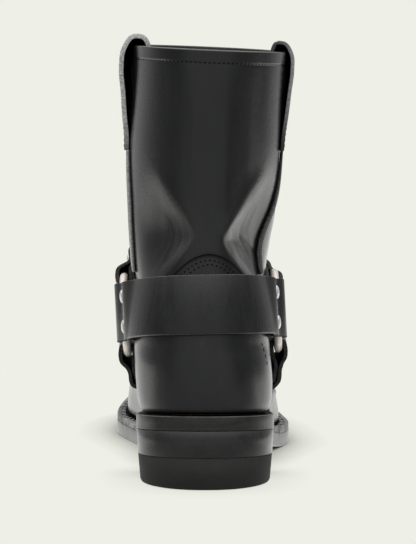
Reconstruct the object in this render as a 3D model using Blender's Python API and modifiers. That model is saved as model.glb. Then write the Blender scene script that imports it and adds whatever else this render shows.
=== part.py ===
"""Right harness boot. Metres, +Z up, +Y to the toe, +X to the outer side of the foot.

The origin is the middle of the heel's face on the floor. Tables are in millimetres, and their y runs
forward from the back of the sole.
"""

import math
from collections import namedtuple

import bmesh
import bpy
import numpy as np
from mathutils import Vector
from mathutils.bvhtree import BVHTree

MM = 0.001

# Driving sizes, in millimetres
SOLE_LENGTH = 302.0
SETBACK = 38.0  # from the back of the sole to the origin
SEAM_GAP = 0.3
OUTSOLE_THICK = 8.2
EDGE_ROUND, EDGE_HIGH = 0.7, 1.5  # the outsole's lower edge is eased in by this, up to here
WELT_THICK = 4.2
WELT_START = 64.0  # where the welt begins to rise, behind the heel breast
WELT_FULL = 90.0
WELT_TIP = 70.0  # where the strip itself ends, skived thin
WELT_SKIVE = 0.2
WELT_REACH = 3.8  # how far the welt runs in under the upper
WELT_STEP = 0.6  # the welt's edge stands back from the outsole's
INSOLE_THICK = 3.0
WALL = 2.2
OVERLAY_GAP = 0.9
OVERLAY_THICK = 1.3
CAP_BACK = 18.1  # top of the rubber cap at the back of the heel
CAP_SLOPE = -0.07
CAP_ROUND = 1.2  # height of the cap's eased lower edge
CAP_FOOT_IN, CAP_ROUND_IN, CAP_TOP_IN = 3.0, 2.0, 1.2  # how far in from the sole's edge
BLOCK_FOOT_IN, BLOCK_TOP_IN = 0.8, 0.2
BREAST = 69.0
BREAST_HOLLOW = 4.0
COLLAR = 242.0
COLLAR_TILT = 0.045  # the outer side of the collar is lower

# The upper's shape
HEEL_AT, WAIST_AT = 0.13, 0.38  # shares of a section's length
BALL_AT = {1: 0.61, -1: 0.71}  # outer and inner side
COLUMNS = 48
SOLE_COLUMNS = 88
WELT_COLUMNS = 65
HEEL_COLUMNS, BREAST_COLUMNS = 23, 9
ROWS_PER_LEVEL = 2
VAMP_COLUMNS, VAMP_ROWS = 35, 15
COUNTER_COLUMNS, COUNTER_ROWS = 43, 11
SEAM_ROWS = 15
SMALL = 0.01  # a small step round or up the boot, to read its slope
MERGE = 1e-7  # points closer than this are one, in metres

Profile = namedtuple("Profile", "place y z slope")
SOLE_PROFILE = (
    Profile("heel back", 0, 33.4, -0.1),
    Profile("heel breast", 68, 26.6, -0.1),
    Profile("ball starts", 162, 0, 0),
    Profile("ball ends", 222, 0, 0),
    Profile("toe tip", 302, 11, 0.26),
)

Swing = namedtuple("Swing", "y x")  # the foot's middle line, swinging to the inner side at the toe
MIDDLE = (Swing(0, 0), Swing(70, 0.5), Swing(112, 3), Swing(178, 0), Swing(215, -4.2), Swing(302, -10))

# A level is a ring round the boot. Its rise is above the sole where follow is 1, and above the floor where
# it is 0. Heel, waist and ball are half widths. The ends round off over a share of the length, by a power.
Level = namedtuple(
    "Level",
    "name back_y back_rise front_y front_rise heel waist ball back_end front_end back_power front_power"
    " flare lean follow",
)
LEVELS = (
    Level("feather", 5.5, 1.0, 293, 0.8, 33.0, 28.0, 42.6, 0.13, 0.36, 2.2, 2.3, 1.0, 0.0, 1.0),
    Level("welt roll", 3.4, 7.5, 296, 6.7, 35.4, 30.5, 42.9, 0.13, 0.36, 2.2, 2.3, 1.0, -0.2, 1.0),
    Level("wall", 2.4, 18.5, 296.5, 17.7, 36.4, 32.0, 41.4, 0.14, 0.37, 2.2, 2.3, 1.0, -0.5, 1.0),
    Level("shoulder", 2.6, 28.5, 289, 31.5, 36.4, 33.2, 40.4, 0.15, 0.40, 2.2, 2.2, 1.0, -1.2, 1.0),
    Level("toe top", 3.6, 37.0, 269, 43.5, 36.2, 34.2, 38.4, 0.17, 0.45, 2.1, 2.0, 0.95, -1.8, 1.0),
    Level("low vamp", 5.4, 46.0, 236, 55.5, 35.8, 35.0, 36.3, 0.19, 0.50, 2.1, 2.0, 0.8, -1.8, 1.0),
    Level("vamp", 8.0, 56.0, 199, 70.5, 35.6, 35.8, 35.6, 0.24, 0.54, 2.0, 2.0, 0.6, -1.6, 1.0),
    Level("instep", 10.8, 68.0, 167, 90.0, 36.4, 36.8, 36.4, 0.32, 0.55, 2.0, 2.0, 0.4, -2.4, 1.0),
    Level("ankle", 13.2, 105.0, 145, 122.0, 39.1, 39.3, 39.1, 0.43, 0.55, 2.0, 2.0, 0.2, -2.7, 0.5),
    Level("throat", 13.8, 140.0, 134, 151.0, 42.0, 42.0, 42.0, 0.50, 0.50, 2.05, 2.05, 0.0, -1.7, 0.2),
    Level("shaft", 11.6, 184.0, 130, 185.0, 43.0, 43.0, 43.0, 0.50, 0.50, 2.1, 2.1, 0.0, -0.5, 0.0),
    Level("high shaft", 8.0, 214.0, 131, 214.0, 42.9, 42.9, 42.9, 0.50, 0.50, 2.1, 2.1, 0.0, 1.2, 0.0),
    Level("collar", 4.5, 242.0, 132, 242.0, 43.3, 43.3, 43.3, 0.50, 0.50, 2.1, 2.1, 0.0, 2.8, 0.0),
)
SOLE_EDGE = Level("sole", 0, 0, SOLE_LENGTH, 0, 38.8, 33.5, 51.6, 0.13, 0.35, 2.2, 2.3, 1, 0, 1)

# The heel cord stands a little to the outer side, with a soft fold each side of it. Bearings are degrees
# round from the back of the boot, and a fold's are from the cord.
HEEL_CORD = 6.0
Fold = namedtuple("Fold", "side height depth near far soft fade reach slant")
FOLDS = (
    Fold(1, 137, 4.5, 12, 48, 10, 34, 24, 0.45),
    Fold(-1, 142, 3.6, 9, 40, 10, 34, 22, 0.4),
)

# Panel edges: a row a corner, as degrees round the boot and level number
Edge = namedtuple("Edge", "bearing level")
COUNTER_EDGE = (
    Edge(-54, 0.6),
    Edge(-60, 1.8),
    Edge(-62, 3.0),
    Edge(-61, 4.2),
    Edge(-57, 5.2),
    Edge(-48, 6.2),
    Edge(-34, 6.95),
    Edge(-21, 7.5),
    Edge(-14, 7.85),
    Edge(-5, 8.13),
    Edge(6, 8.25),
    Edge(17, 8.13),
    Edge(26, 7.85),
    Edge(32.5, 7.45),
    Edge(37, 6.6),
    Edge(42, 5.6),
    Edge(49, 4.85),
    Edge(54, 4.2),
    Edge(60, 3.6),
    Edge(62.5, 2.8),
    Edge(61, 1.8),
    Edge(55, 0.6),
)
VAMP_EDGE = (
    Edge(180, 8.5),
    Edge(164, 8.35),
    Edge(148, 7.7),
    Edge(128, 6.6),
    Edge(108, 5.2),
    Edge(88, 3.6),
    Edge(72, 1.9),
    Edge(60, 0.6),
)
Seam = namedtuple("Seam", "level outer inner")
SIDE_SEAMS = (
    Seam(7.35, 59, 66),
    Seam(7.9, 61, 68),
    Seam(8.6, 67, 70),
    Seam(9.2, 76, 72),
    Seam(9.6, 82, 75),
    Seam(10.0, 86, 78),
)
SEAM_HALF = 2.6
SEAM_THICK = 1.1
PANEL_FOOT = 0.3  # panels begin this far up the first level, clear of the sole

# Harness
Ring = namedtuple("Ring", "name side x y z")
RINGS = (Ring("outer", 1, 40.9, 80, 91.5), Ring("inner", -1, -45.7, 80, 89.0))
HARNESS_ROLL = math.radians(3.0)  # both rings lean to the inner side
RING_RADIUS = 22.0
WIRE = 2.25
RING_SEGMENTS, WIRE_SEGMENTS = 28, 7
STRAP_THICK = 2.5
STRAP_GAP = 0.35  # between plies and round the wire
STRAP_LIE = 1.0  # between a strap and the boot
RIVET_AT = 35.0  # from the ring's middle
RIVET_SEAT = 4.6  # the plies lie flat this far each way
RIVET_RADIUS = 3.6
RIVET_HIGH = 1.6
RIVET_SIDES = 10
Dome = namedtuple("Dome", "rim high")  # shares of a rivet's radius and height
RIVET_DOME = (Dome(1.0, 0.0), Dome(1.0, 0.35), Dome(0.72, 0.8), Dome(0.3, 1.0))
FOLD_STRAIGHT = 4.0  # the plies run straight this far from the wire
PAST_RING = 2.0
FOLD_DROP = 0.9
FOLD_STEPS = 7
# Angle in the ring's plane up from the toe's way, what the outer ring adds to it and the inner takes off, the
# width, rivets across, and how far along that way lies the point that the strap is pressed toward
Strap = namedtuple("Strap", "name angle skew width rivets hub")
HEEL_STRAP = Strap("heel_strap", 170.5, 0, 33, (-8.5, 8.5), 46)
INSTEP_STRAP = Strap("instep_strap", 33.5, -13, 25, (-6.5, 6.5), 42)
ARCH_STRAP = Strap("arch_strap", -84, 0, 22, (0.0,), 0)
ARCH_SLACK = 2.4  # the arch straps hang a little clear of the boot
ARCH_FOOT = 2.0  # and end this far over the sole
ARCH_STEPS = 5
ARCH_READS = 400
GIRDLE_STEPS = 21
CLEAR = 160.0  # far enough out to be clear of the boot
SWELL_TURNS = (-0.07, -0.035, 0, 0.035, 0.07)  # where the boot is felt under a strap
SWELL_SHARES = np.linspace(-1, 1, 9)
EASE, EASE_POWER = 1.5, 8  # the strap lifts to its rivets at the sides

# Pull loops: the leather's middle line, as millimetres out from the shaft's face and height
Bend = namedtuple("Bend", "out z")
LOOP_OUTER = (
    Bend(1.5, 186),
    Bend(1.6, 193),
    Bend(2.3, 204),
    Bend(3.2, 218),
    Bend(3.8, 230),
    Bend(2.6, 239.5),
    Bend(-1.4, 245.4),
    Bend(-6.0, 245.6),
    Bend(-8.6, 240),
    Bend(-8.2, 230),
    Bend(-6.6, 219),
    Bend(-5.2, 208),
)
LOOP_INNER = (
    Bend(1.5, 186),
    Bend(1.7, 193),
    Bend(3.1, 204),
    Bend(4.8, 218),
    Bend(6.4, 231),
    Bend(5.1, 243.0),
    Bend(0.2, 249.3),
    Bend(-5.6, 248.9),
    Bend(-9.0, 243),
    Bend(-8.8, 232),
    Bend(-7.0, 220),
    Bend(-5.4, 208),
)
LOOP_WIDTH = 25.0
LOOP_THICK = 2.0
STEPS_PER_BEND = 2
LOOP_LEVEL = 8  # the loops' faces of the shaft are read from this level up
LOOP_READS = 40

Finish = namedtuple("Finish", "colour roughness metallic")
LEATHER = Finish((0.012, 0.011, 0.011), 0.45, 0)
SOLE_LEATHER = Finish((0.02, 0.018, 0.017), 0.5, 0)
RUBBER = Finish((0.022, 0.021, 0.021), 0.75, 0)
INSOLE_BOARD = Finish((0.32, 0.22, 0.13), 0.8, 0)
NICKEL = Finish((0.78, 0.75, 0.68), 0.28, 1)


def hermite(at, xs, ys, slopes=None):
    """A smooth curve through the points, with its own slopes where none are given."""
    xs, ys = np.asarray(xs, float), np.asarray(ys, float)
    slopes = np.gradient(ys, xs) if slopes is None else np.asarray(slopes, float)
    at = np.clip(at, xs[0], xs[-1])
    i = np.clip(np.searchsorted(xs, at, side="right") - 1, 0, len(xs) - 2)
    span = xs[i + 1] - xs[i]
    t = (at - xs[i]) / span
    start = ys[i] * (1 + 2 * t) * (1 - t) ** 2 + slopes[i] * span * t * (1 - t) ** 2
    return start + ys[i + 1] * t * t * (3 - 2 * t) + slopes[i + 1] * span * t * t * (t - 1)


def smooth(t):
    t = np.clip(t, 0, 1)
    return t * t * (3 - 2 * t)


def sole_bottom(y):
    places, ys, zs, slopes = zip(*SOLE_PROFILE)
    return hermite(y, ys, zs, slopes)


def welt_height(y):
    return WELT_THICK * smooth((y - WELT_START) / (WELT_FULL - WELT_START))


def sole_top(y):
    return sole_bottom(y) + OUTSOLE_THICK + welt_height(y)


def level_at(number):
    """The level table read smoothly at any number between its rows."""
    rows = np.arange(len(LEVELS))
    columns = [hermite(number, rows, values) for values in list(zip(*LEVELS))[1:]]
    return Level("between", *columns)


def inset(level, by):
    return level._replace(
        back_y=level.back_y + by,
        front_y=level.front_y - by,
        heel=level.heel - by,
        waist=level.waist - by,
        ball=level.ball - by,
    )


def plan(level, turn):
    """x and y of a level's ring, where turn is the angle round from the back to the outer side."""
    share = (1 - np.cos(turn)) / 2
    side = np.where(np.sin(turn) >= 0, 1, -1)
    y = level.back_y + (level.front_y - level.back_y) * share
    ball_at = np.where(side > 0, BALL_AT[1], BALL_AT[-1])
    heel_part = smooth((share - HEEL_AT) / (WAIST_AT - HEEL_AT))
    ball_part = smooth((share - WAIST_AT) / (ball_at - WAIST_AT))
    half = level.heel + (level.waist - level.heel) * heel_part + (level.ball - level.waist) * ball_part
    back = np.clip((level.back_end - share) / level.back_end, 0, 1)
    front = np.clip((share - 1 + level.front_end) / level.front_end, 0, 1)
    half = half * (1 - back**level.back_power) ** (1 / level.back_power)
    half = half * (1 - front**level.front_power) ** (1 / level.front_power)
    swing = hermite(y, *zip(*MIDDLE))
    return side * half + level.flare * swing + level.lean, y


def ring_at(turn, number):
    level = level_at(number)
    x, y = plan(level, turn)
    share = (1 - np.cos(turn)) / 2
    z = level.follow * sole_top(y) + level.back_rise + (level.front_rise - level.back_rise) * share
    z = z - COLLAR_TILT * x * (z / COLLAR) ** 4
    return np.stack([x, y, z], -1)


def fold_depth(turn, z):
    bearing = np.degrees(np.arctan2(np.sin(turn), np.cos(turn))) - HEEL_CORD
    depth = np.zeros_like(z)
    for fold in FOLDS:
        away = bearing * fold.side - fold.near - fold.slant * np.abs(z - fold.height)
        ends = 1 - smooth((bearing * fold.side - fold.far) / fold.fade)
        bell = np.exp(-(((z - fold.height) / fold.reach) ** 2))
        depth = depth + fold.depth * smooth(away / fold.soft) * ends * bell
    return depth


def skin(turn, number, out=0.0):
    """Points of the upper's outer face in millimetres, moved out along the face."""
    turn, number = np.broadcast_arrays(np.asarray(turn, float), np.asarray(number, float))
    top = len(LEVELS) - 1
    here = ring_at(turn, number)
    along = ring_at(turn + SMALL, number) - ring_at(turn - SMALL, number)
    up = ring_at(turn, np.minimum(number + SMALL, top)) - ring_at(turn, np.maximum(number - SMALL, 0))
    normal = np.cross(along, up)
    normal = normal / np.linalg.norm(normal, axis=-1, keepdims=True)
    return here + normal * (out - fold_depth(turn, here[..., 2]))[..., None]


def placed(points):
    """Table millimetres to the boot's own metres."""
    return (np.asarray(points) - np.array([0, SETBACK, 0])) * MM


def new_object(name, mesh, finish):
    material = bpy.data.materials.new(name)
    material.use_nodes = True
    shader = material.node_tree.nodes["Principled BSDF"]
    shader.inputs["Base Color"].default_value = (*finish.colour, 1)
    shader.inputs["Roughness"].default_value = finish.roughness
    shader.inputs["Metallic"].default_value = finish.metallic
    mesh.materials.append(material)
    made = bpy.data.objects.new(name, mesh)
    BOOT.objects.link(made)
    return made


def loft(name, rings, finish, around=True, through=False, caps=None):
    """Skins rings of points, in table millimetres. Caps are one face, or rungs from side to side."""
    rings = placed(rings)
    count, size = rings.shape[:2]
    grid = bmesh.new()
    verts = [[grid.verts.new(p) for p in ring] for ring in rings]
    for i in range(count if through else count - 1):
        low, high = verts[i], verts[(i + 1) % count]
        for j in range(size if around else size - 1):
            k = (j + 1) % size
            grid.faces.new((low[j], low[k], high[k], high[j]))
    for ring in (verts[0], verts[-1]):
        if caps == "face":
            grid.faces.new(ring)
        if caps == "rungs":
            for j in range(size // 2 - 1):
                grid.faces.new((ring[j], ring[j + 1], ring[size - j - 2], ring[size - j - 1]))
    bmesh.ops.remove_doubles(grid, verts=grid.verts, dist=MERGE)
    bmesh.ops.dissolve_degenerate(grid, edges=grid.edges, dist=MERGE)
    bmesh.ops.recalc_face_normals(grid, faces=grid.faces)
    mesh = bpy.data.meshes.new(name)
    grid.to_mesh(mesh)
    grid.free()
    return new_object(name, mesh, finish)


def shell(name, points, thick, offset, around, finish):
    """An open sheet given its thickness, outward for offset 1 and inward for offset -1."""
    made = loft(name, points, finish, around=around)
    solid = made.modifiers.new("thickness", "SOLIDIFY")
    solid.thickness = thick * MM
    solid.offset = offset
    return made


def turns(count):
    return np.linspace(0, 2 * math.pi, count, endpoint=False)


def both_sides(edge):
    """An edge from its far foot over its top, given as the half from the top down."""
    top = edge[0].bearing
    return [Edge(2 * top - row.bearing, row.level) for row in edge[:0:-1]] + list(edge)


def panel(name, edge, columns, rows):
    """A panel over the upper, from the feather line to an edge that runs from foot to foot."""
    bearings, levels = zip(*edge)
    corners = np.arange(len(edge))
    across = np.linspace(0, len(edge) - 1, columns)
    top_turn, top_level = hermite(across, corners, bearings), hermite(across, corners, levels)
    foot_turn = np.linspace(bearings[0], bearings[-1], columns)
    up = np.linspace(0, 1, rows)[:, None]
    number = PANEL_FOOT + (top_level - PANEL_FOOT) * up
    turn = np.radians(foot_turn + (top_turn - foot_turn) * up)
    return shell(name, skin(turn, number, OVERLAY_GAP), OVERLAY_THICK, 1, False, LEATHER)


def side_seam(name, side):
    levels, outer, inner = zip(*SIDE_SEAMS)
    number = np.linspace(levels[0], levels[-1], SEAM_ROWS)[:, None]
    bearing = hermite(number, levels, outer if side > 0 else inner)
    middle = np.radians(bearing) * side
    across = ring_at(middle + SMALL, number) - ring_at(middle - SMALL, number)
    reach = np.linalg.norm(across, axis=-1) / (2 * SMALL)
    turn = middle + np.array([-1, 0, 1]) * SEAM_HALF / reach
    number = np.broadcast_to(number, turn.shape)
    return shell(name, skin(turn, number, OVERLAY_GAP), SEAM_THICK, 1, False, LEATHER)


def heel_ring(by, height):
    """The heel's outline in from the sole's edge, round the back and along its hollow breast."""
    turn = math.acos(1 - 2 * BREAST / SOLE_LENGTH) * np.linspace(-1, 1, HEEL_COLUMNS)
    x, y = plan(inset(SOLE_EDGE, by), turn)
    across = np.linspace(x[-1], x[0], BREAST_COLUMNS)[1:-1]
    hollow = y[-1] - BREAST_HOLLOW * (1 - (across / x[-1]) ** 2)
    x, y = np.concatenate([x, across]), np.concatenate([y, hollow])
    return np.stack([x, y, height(y)], -1)


def flat_ring(level, turn, height):
    x, y = plan(level, turn)
    return np.stack([x, y, height(y)], -1)


def tube(path, sides, width, thick):
    """The four-cornered rings of a strap along a path."""
    path, sides = np.asarray(path), np.asarray(sides)
    tangent = np.gradient(path, axis=0)
    normal = np.cross(tangent, sides)
    normal = normal / np.linalg.norm(normal, axis=1, keepdims=True)
    half, deep = sides * width / 2, normal * thick / 2
    return np.stack([path + half + deep, path + half - deep, path - half - deep, path - half + deep], 1)


def along_path(points, per_span):
    """Smooth points through the given ones."""
    points = np.asarray(points, float)
    at = np.linspace(0, len(points) - 1, (len(points) - 1) * per_span + 1)
    return np.stack([hermite(at, range(len(points)), column) for column in points.T], 1)


def press(start, direction):
    """Where a line meets the dressed upper, in table millimetres, or None."""
    begin = Vector(placed(start))
    hit = DRESSED.ray_cast(begin, Vector(direction))[0]
    return None if hit is None else np.array(hit) / MM + np.array([0, SETBACK, 0])


def strap_ways(strap, side):
    """A strap's way along and across, where side goes from 1 at the outer ring to -1 at the inner."""
    angle = math.radians(strap.angle + strap.skew * side)
    up = np.array([-math.sin(HARNESS_ROLL), 0, math.cos(HARNESS_ROLL)])
    ahead = np.array([0.0, 1.0, 0.0])
    return ahead * math.cos(angle) + up * math.sin(angle), up * math.cos(angle) - ahead * math.sin(angle)


def ring_axes(ring, strap):
    """The ring's middle, its outward axis, and the strap's way along and across in its plane."""
    out = np.array([math.cos(HARNESS_ROLL), 0, math.sin(HARNESS_ROLL)]) * ring.side
    away, across = strap_ways(strap, ring.side)
    return np.array([ring.x, ring.y, ring.z]), out, away, across


def stand_off(ring, strap, distance):
    """How far the boot lies from the ring's plane under the strap, there."""
    middle, out, away, across = ring_axes(ring, strap)
    hits = []
    for share in SWELL_SHARES / 2:
        start = middle + away * distance + across * share * strap.width + out * RING_RADIUS
        hit = press(start, -out)
        if hit is not None:
            hits.append(np.dot(hit - middle, out))
    return max(hits)


def rivet_seat(ring, strap):
    """Heights of the inner ply over the ring's plane, at both ends of the flat that the rivets hold."""
    near, middle, far = (
        stand_off(ring, strap, RIVET_AT + RIVET_SEAT * k) + STRAP_GAP + STRAP_THICK / 2 for k in (-1, 0, 1)
    )
    swell = max(0.0, middle - (near + far) / 2)
    return near + swell, far + swell


def fold_path(ring, strap):
    """One end of a strap: from its tail, inside, round the ring's wire and back out to the rivets."""
    middle, out, away, across = ring_axes(ring, strap)
    half = strap.width / 2
    reach = math.sqrt(RING_RADIUS**2 - half**2)
    bend = WIRE + STRAP_GAP + STRAP_THICK / 2
    fold = reach - WIRE * RING_RADIUS / reach + WIRE
    held_near, held_far = rivet_seat(ring, strap)
    ply = STRAP_THICK + STRAP_GAP
    near, far = RIVET_AT - RIVET_SEAT, RIVET_AT + RIVET_SEAT
    past, straight = RING_RADIUS + PAST_RING, fold + FOLD_STRAIGHT
    pairs = [(far, held_far), (near, held_near), (past, -bend), (straight, -bend)]
    for turn in np.linspace(-math.pi / 2, math.pi / 2, FOLD_STEPS):
        pairs.append((fold - bend * math.cos(turn), bend * math.sin(turn)))
    pairs += [(straight, bend), (past, bend * FOLD_DROP), (near, held_near + ply), (far, held_far + ply)]
    return [middle + away * d + out * h for d, h in pairs], across


def girdle(strap):
    """The stations of a strap from ring to ring, pressed on the boot in the plane of both rings."""
    start, end = (ring_axes(ring, strap)[0] for ring in RINGS)
    roll = (start - end) / np.linalg.norm(start - end)
    path, sides = [], []
    for turn in np.linspace(0, math.pi, GIRDLE_STEPS):
        away, across = strap_ways(strap, math.cos(turn))
        centre = (start + end) / 2 + away * strap.hub
        ray = roll * math.cos(turn) + away * math.sin(turn)
        half = across * strap.width / 2
        low, high = (press(centre + ray * CLEAR + half * k, -ray) for k in (-1, 1))
        side = (high - low) / np.linalg.norm(high - low)
        face = ray - side * np.dot(ray, side)
        face = face / np.linalg.norm(face)
        base = (low + high) / 2
        swell = 0.0
        for shift in SWELL_TURNS:
            beam = roll * math.cos(turn + shift) + away * math.sin(turn + shift)
            for k in SWELL_SHARES:
                hit = press(centre + beam * CLEAR + half * k, -beam)
                swell = max(swell, np.dot(hit - base, face))
        ease = EASE * abs(math.cos(turn)) ** EASE_POWER
        path.append(base + face * (swell + STRAP_LIE + STRAP_THICK / 2 + ease))
        sides.append(side)
    return path, sides


def whole_strap(strap):
    """A strap from its fold at one ring, over the boot, to its fold at the other."""
    first, first_side = fold_path(RINGS[0], strap)
    last, last_side = fold_path(RINGS[1], strap)
    middle, middle_sides = girdle(strap)
    path = first + middle + last[::-1]
    sides = [first_side] * len(first) + middle_sides + [last_side] * len(last)
    return loft(strap.name, tube(path, sides, strap.width, STRAP_THICK), LEATHER, caps="face")


def arch_strap(ring):
    """The strap from a ring down to the welt, where its end is cut along the welt."""
    path, across = fold_path(ring, ARCH_STRAP)
    middle, out, away, _ = ring_axes(ring, ARCH_STRAP)
    sides = [across] * len(path)
    tail = RIVET_AT + RIVET_SEAT
    down = np.linspace(tail, CLEAR, ARCH_READS)
    spots = middle + away * down[:, None]
    end = down[np.argmax(spots[:, 2] < sole_top(spots[:, 1]) + ARCH_FOOT)]
    y = (middle + away * end)[1]
    slope = np.array([0, 1, (sole_top(y + 1) - sole_top(y - 1)) / 2])
    slope = slope / np.linalg.norm(slope)
    for share in np.linspace(0, 1, ARCH_STEPS + 1)[1:]:
        distance = tail + (end - tail) * share
        stand = stand_off(ring, ARCH_STRAP, distance) + STRAP_GAP + STRAP_THICK / 2 + ARCH_SLACK
        path.append(middle + away * distance + out * stand)
        side = across + (slope - across) * share
        sides.append(side / np.linalg.norm(side))
    name = f"arch_strap_{ring.name}"
    return loft(name, tube(path, sides, ARCH_STRAP.width, STRAP_THICK), LEATHER, caps="face")


def rivets(ring, strap):
    """Low domes on the outer ply, square to it."""
    middle, out, away, across = ring_axes(ring, strap)
    near, far = rivet_seat(ring, strap)
    tangent = away + out * (far - near) / (2 * RIVET_SEAT)
    tangent = tangent / np.linalg.norm(tangent)
    face = out - tangent * np.dot(out, tangent)
    face = face / np.linalg.norm(face)
    foot = middle + away * RIVET_AT + out * ((near + far) / 2 + STRAP_THICK + STRAP_GAP)
    foot = foot + face * (STRAP_THICK / 2 + SEAM_GAP)
    spin = turns(RIVET_SIDES)[:, None]
    for number, shift in enumerate(strap.rivets, 1):
        rings = []
        for step in RIVET_DOME:
            circle = (np.cos(spin) * tangent + np.sin(spin) * across) * RIVET_RADIUS * step.rim
            rings.append(foot + across * shift + circle + face * RIVET_HIGH * step.high)
        loft(f"rivet_{strap.name}_{ring.name}_{number}", rings, NICKEL, caps="face")


def pull_loop(name, side, bends):
    """A loop over the collar where the shaft is widest."""
    column = skin(math.pi / 2 * side, np.linspace(LOOP_LEVEL, len(LEVELS) - 1, LOOP_READS))
    path = []
    for bend in bends:
        x, y = (np.interp(bend.z, column[:, 2], column[:, k]) for k in (0, 1))
        path.append((x + side * bend.out, y, bend.z))
    path = along_path(path, STEPS_PER_BEND)
    sides = np.tile([0.0, 1.0, 0.0], (len(path), 1))
    return loft(name, tube(path, sides, LOOP_WIDTH, LOOP_THICK), LEATHER, caps="face")


for old in list(bpy.data.objects):
    bpy.data.objects.remove(old, do_unlink=True)
BOOT = bpy.data.collections.new("harness_boot")
bpy.context.scene.collection.children.link(BOOT)

# Upper and the panels over it
upper_rows = np.linspace(0, len(LEVELS) - 1, (len(LEVELS) - 1) * ROWS_PER_LEVEL + 1)[:, None]
upper = shell("upper", skin(turns(COLUMNS), upper_rows), WALL, -1, True, LEATHER)
vamp = panel("vamp", both_sides(VAMP_EDGE), VAMP_COLUMNS, VAMP_ROWS)
counter = panel("heel_counter", COUNTER_EDGE, COUNTER_COLUMNS, COUNTER_ROWS)
side_seam("side_seam_outer", 1)
side_seam("side_seam_inner", -1)

# Sole
round_turns = turns(SOLE_COLUMNS) + math.pi / SOLE_COLUMNS
loft(
    "outsole",
    [
        flat_ring(inset(SOLE_EDGE, EDGE_ROUND), round_turns, sole_bottom),
        flat_ring(SOLE_EDGE, round_turns, lambda y: sole_bottom(y) + EDGE_HIGH),
        flat_ring(SOLE_EDGE, round_turns, lambda y: sole_bottom(y) + OUTSOLE_THICK),
    ],
    SOLE_LEATHER,
    caps="rungs",
)
welt_turn = math.acos(1 - 2 * WELT_TIP / SOLE_LENGTH)
welt_turns = np.linspace(welt_turn, 2 * math.pi - welt_turn, WELT_COLUMNS)
welt_inside = inset(LEVELS[0], WELT_REACH)


def welt_low(y):
    return sole_bottom(y) + OUTSOLE_THICK + SEAM_GAP


def welt_high(y):
    return np.maximum(sole_top(y), welt_low(y) + WELT_SKIVE)


welt_corners = (
    flat_ring(inset(SOLE_EDGE, WELT_STEP), welt_turns, welt_low),
    flat_ring(inset(SOLE_EDGE, WELT_STEP), welt_turns, welt_high),
    flat_ring(welt_inside, welt_turns, welt_high),
    flat_ring(welt_inside, welt_turns, welt_low),
)
loft("welt", np.stack(welt_corners, 1), SOLE_LEATHER, caps="face")
insole_edge = inset(welt_inside, SEAM_GAP * 2)
loft(
    "insole",
    [
        flat_ring(insole_edge, round_turns, welt_low),
        flat_ring(insole_edge, round_turns, lambda y: sole_top(y) + INSOLE_THICK),
    ],
    INSOLE_BOARD,
    caps="rungs",
)


def cap_top(y):
    return CAP_BACK + CAP_SLOPE * y


loft(
    "heel_cap",
    [
        heel_ring(CAP_FOOT_IN, np.zeros_like),
        heel_ring(CAP_ROUND_IN, lambda y: np.full_like(y, CAP_ROUND)),
        heel_ring(CAP_TOP_IN, cap_top),
    ],
    RUBBER,
    caps="face",
)
loft(
    "heel_block",
    [
        heel_ring(BLOCK_FOOT_IN, lambda y: cap_top(y) + SEAM_GAP),
        heel_ring(BLOCK_TOP_IN, lambda y: sole_bottom(y) - SEAM_GAP),
    ],
    SOLE_LEATHER,
    caps="face",
)

# Harness, pressed on the upper and its panels
scene_parts = bpy.context.evaluated_depsgraph_get()
points, faces = [], []
for part in (upper, vamp, counter):
    solid = part.evaluated_get(scene_parts).to_mesh()
    faces += [[len(points) + k for k in p.vertices] for p in solid.polygons]
    points += [v.co.copy() for v in solid.vertices]
DRESSED = BVHTree.FromPolygons(points, faces)

whole_strap(HEEL_STRAP)
whole_strap(INSTEP_STRAP)
for ring in RINGS:
    arch_strap(ring)
    for strap in (HEEL_STRAP, INSTEP_STRAP, ARCH_STRAP):
        rivets(ring, strap)
    bpy.ops.mesh.primitive_torus_add(
        major_radius=RING_RADIUS * MM,
        minor_radius=WIRE * MM,
        major_segments=RING_SEGMENTS,
        minor_segments=WIRE_SEGMENTS,
        location=placed([ring.x, ring.y, ring.z]),
        rotation=(0, math.pi / 2 - HARNESS_ROLL, 0),
    )
    torus = bpy.context.active_object
    made = new_object(f"ring_{ring.name}", torus.data, NICKEL)
    made.matrix_world = torus.matrix_world.copy()
    bpy.data.objects.remove(torus)

pull_loop("pull_loop_outer", 1, LOOP_OUTER)
pull_loop("pull_loop_inner", -1, LOOP_INNER)
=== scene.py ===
# %% [markdown]
# # A black leather harness boot for the right foot
#
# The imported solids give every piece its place, in metres. The toe points along +Y, the outer side of the foot
# along +X, and the heel stands on the floor at the origin. The solids are plain and faceted, so each piece is
# made again here from the same sizes: finer, with soft edges, folds, stitches and its own finish.

import math
from collections import namedtuple

import bmesh
import bpy
import numpy as np
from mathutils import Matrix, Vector
from mathutils.bvhtree import BVHTree
from mathutils.kdtree import KDTree


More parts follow.
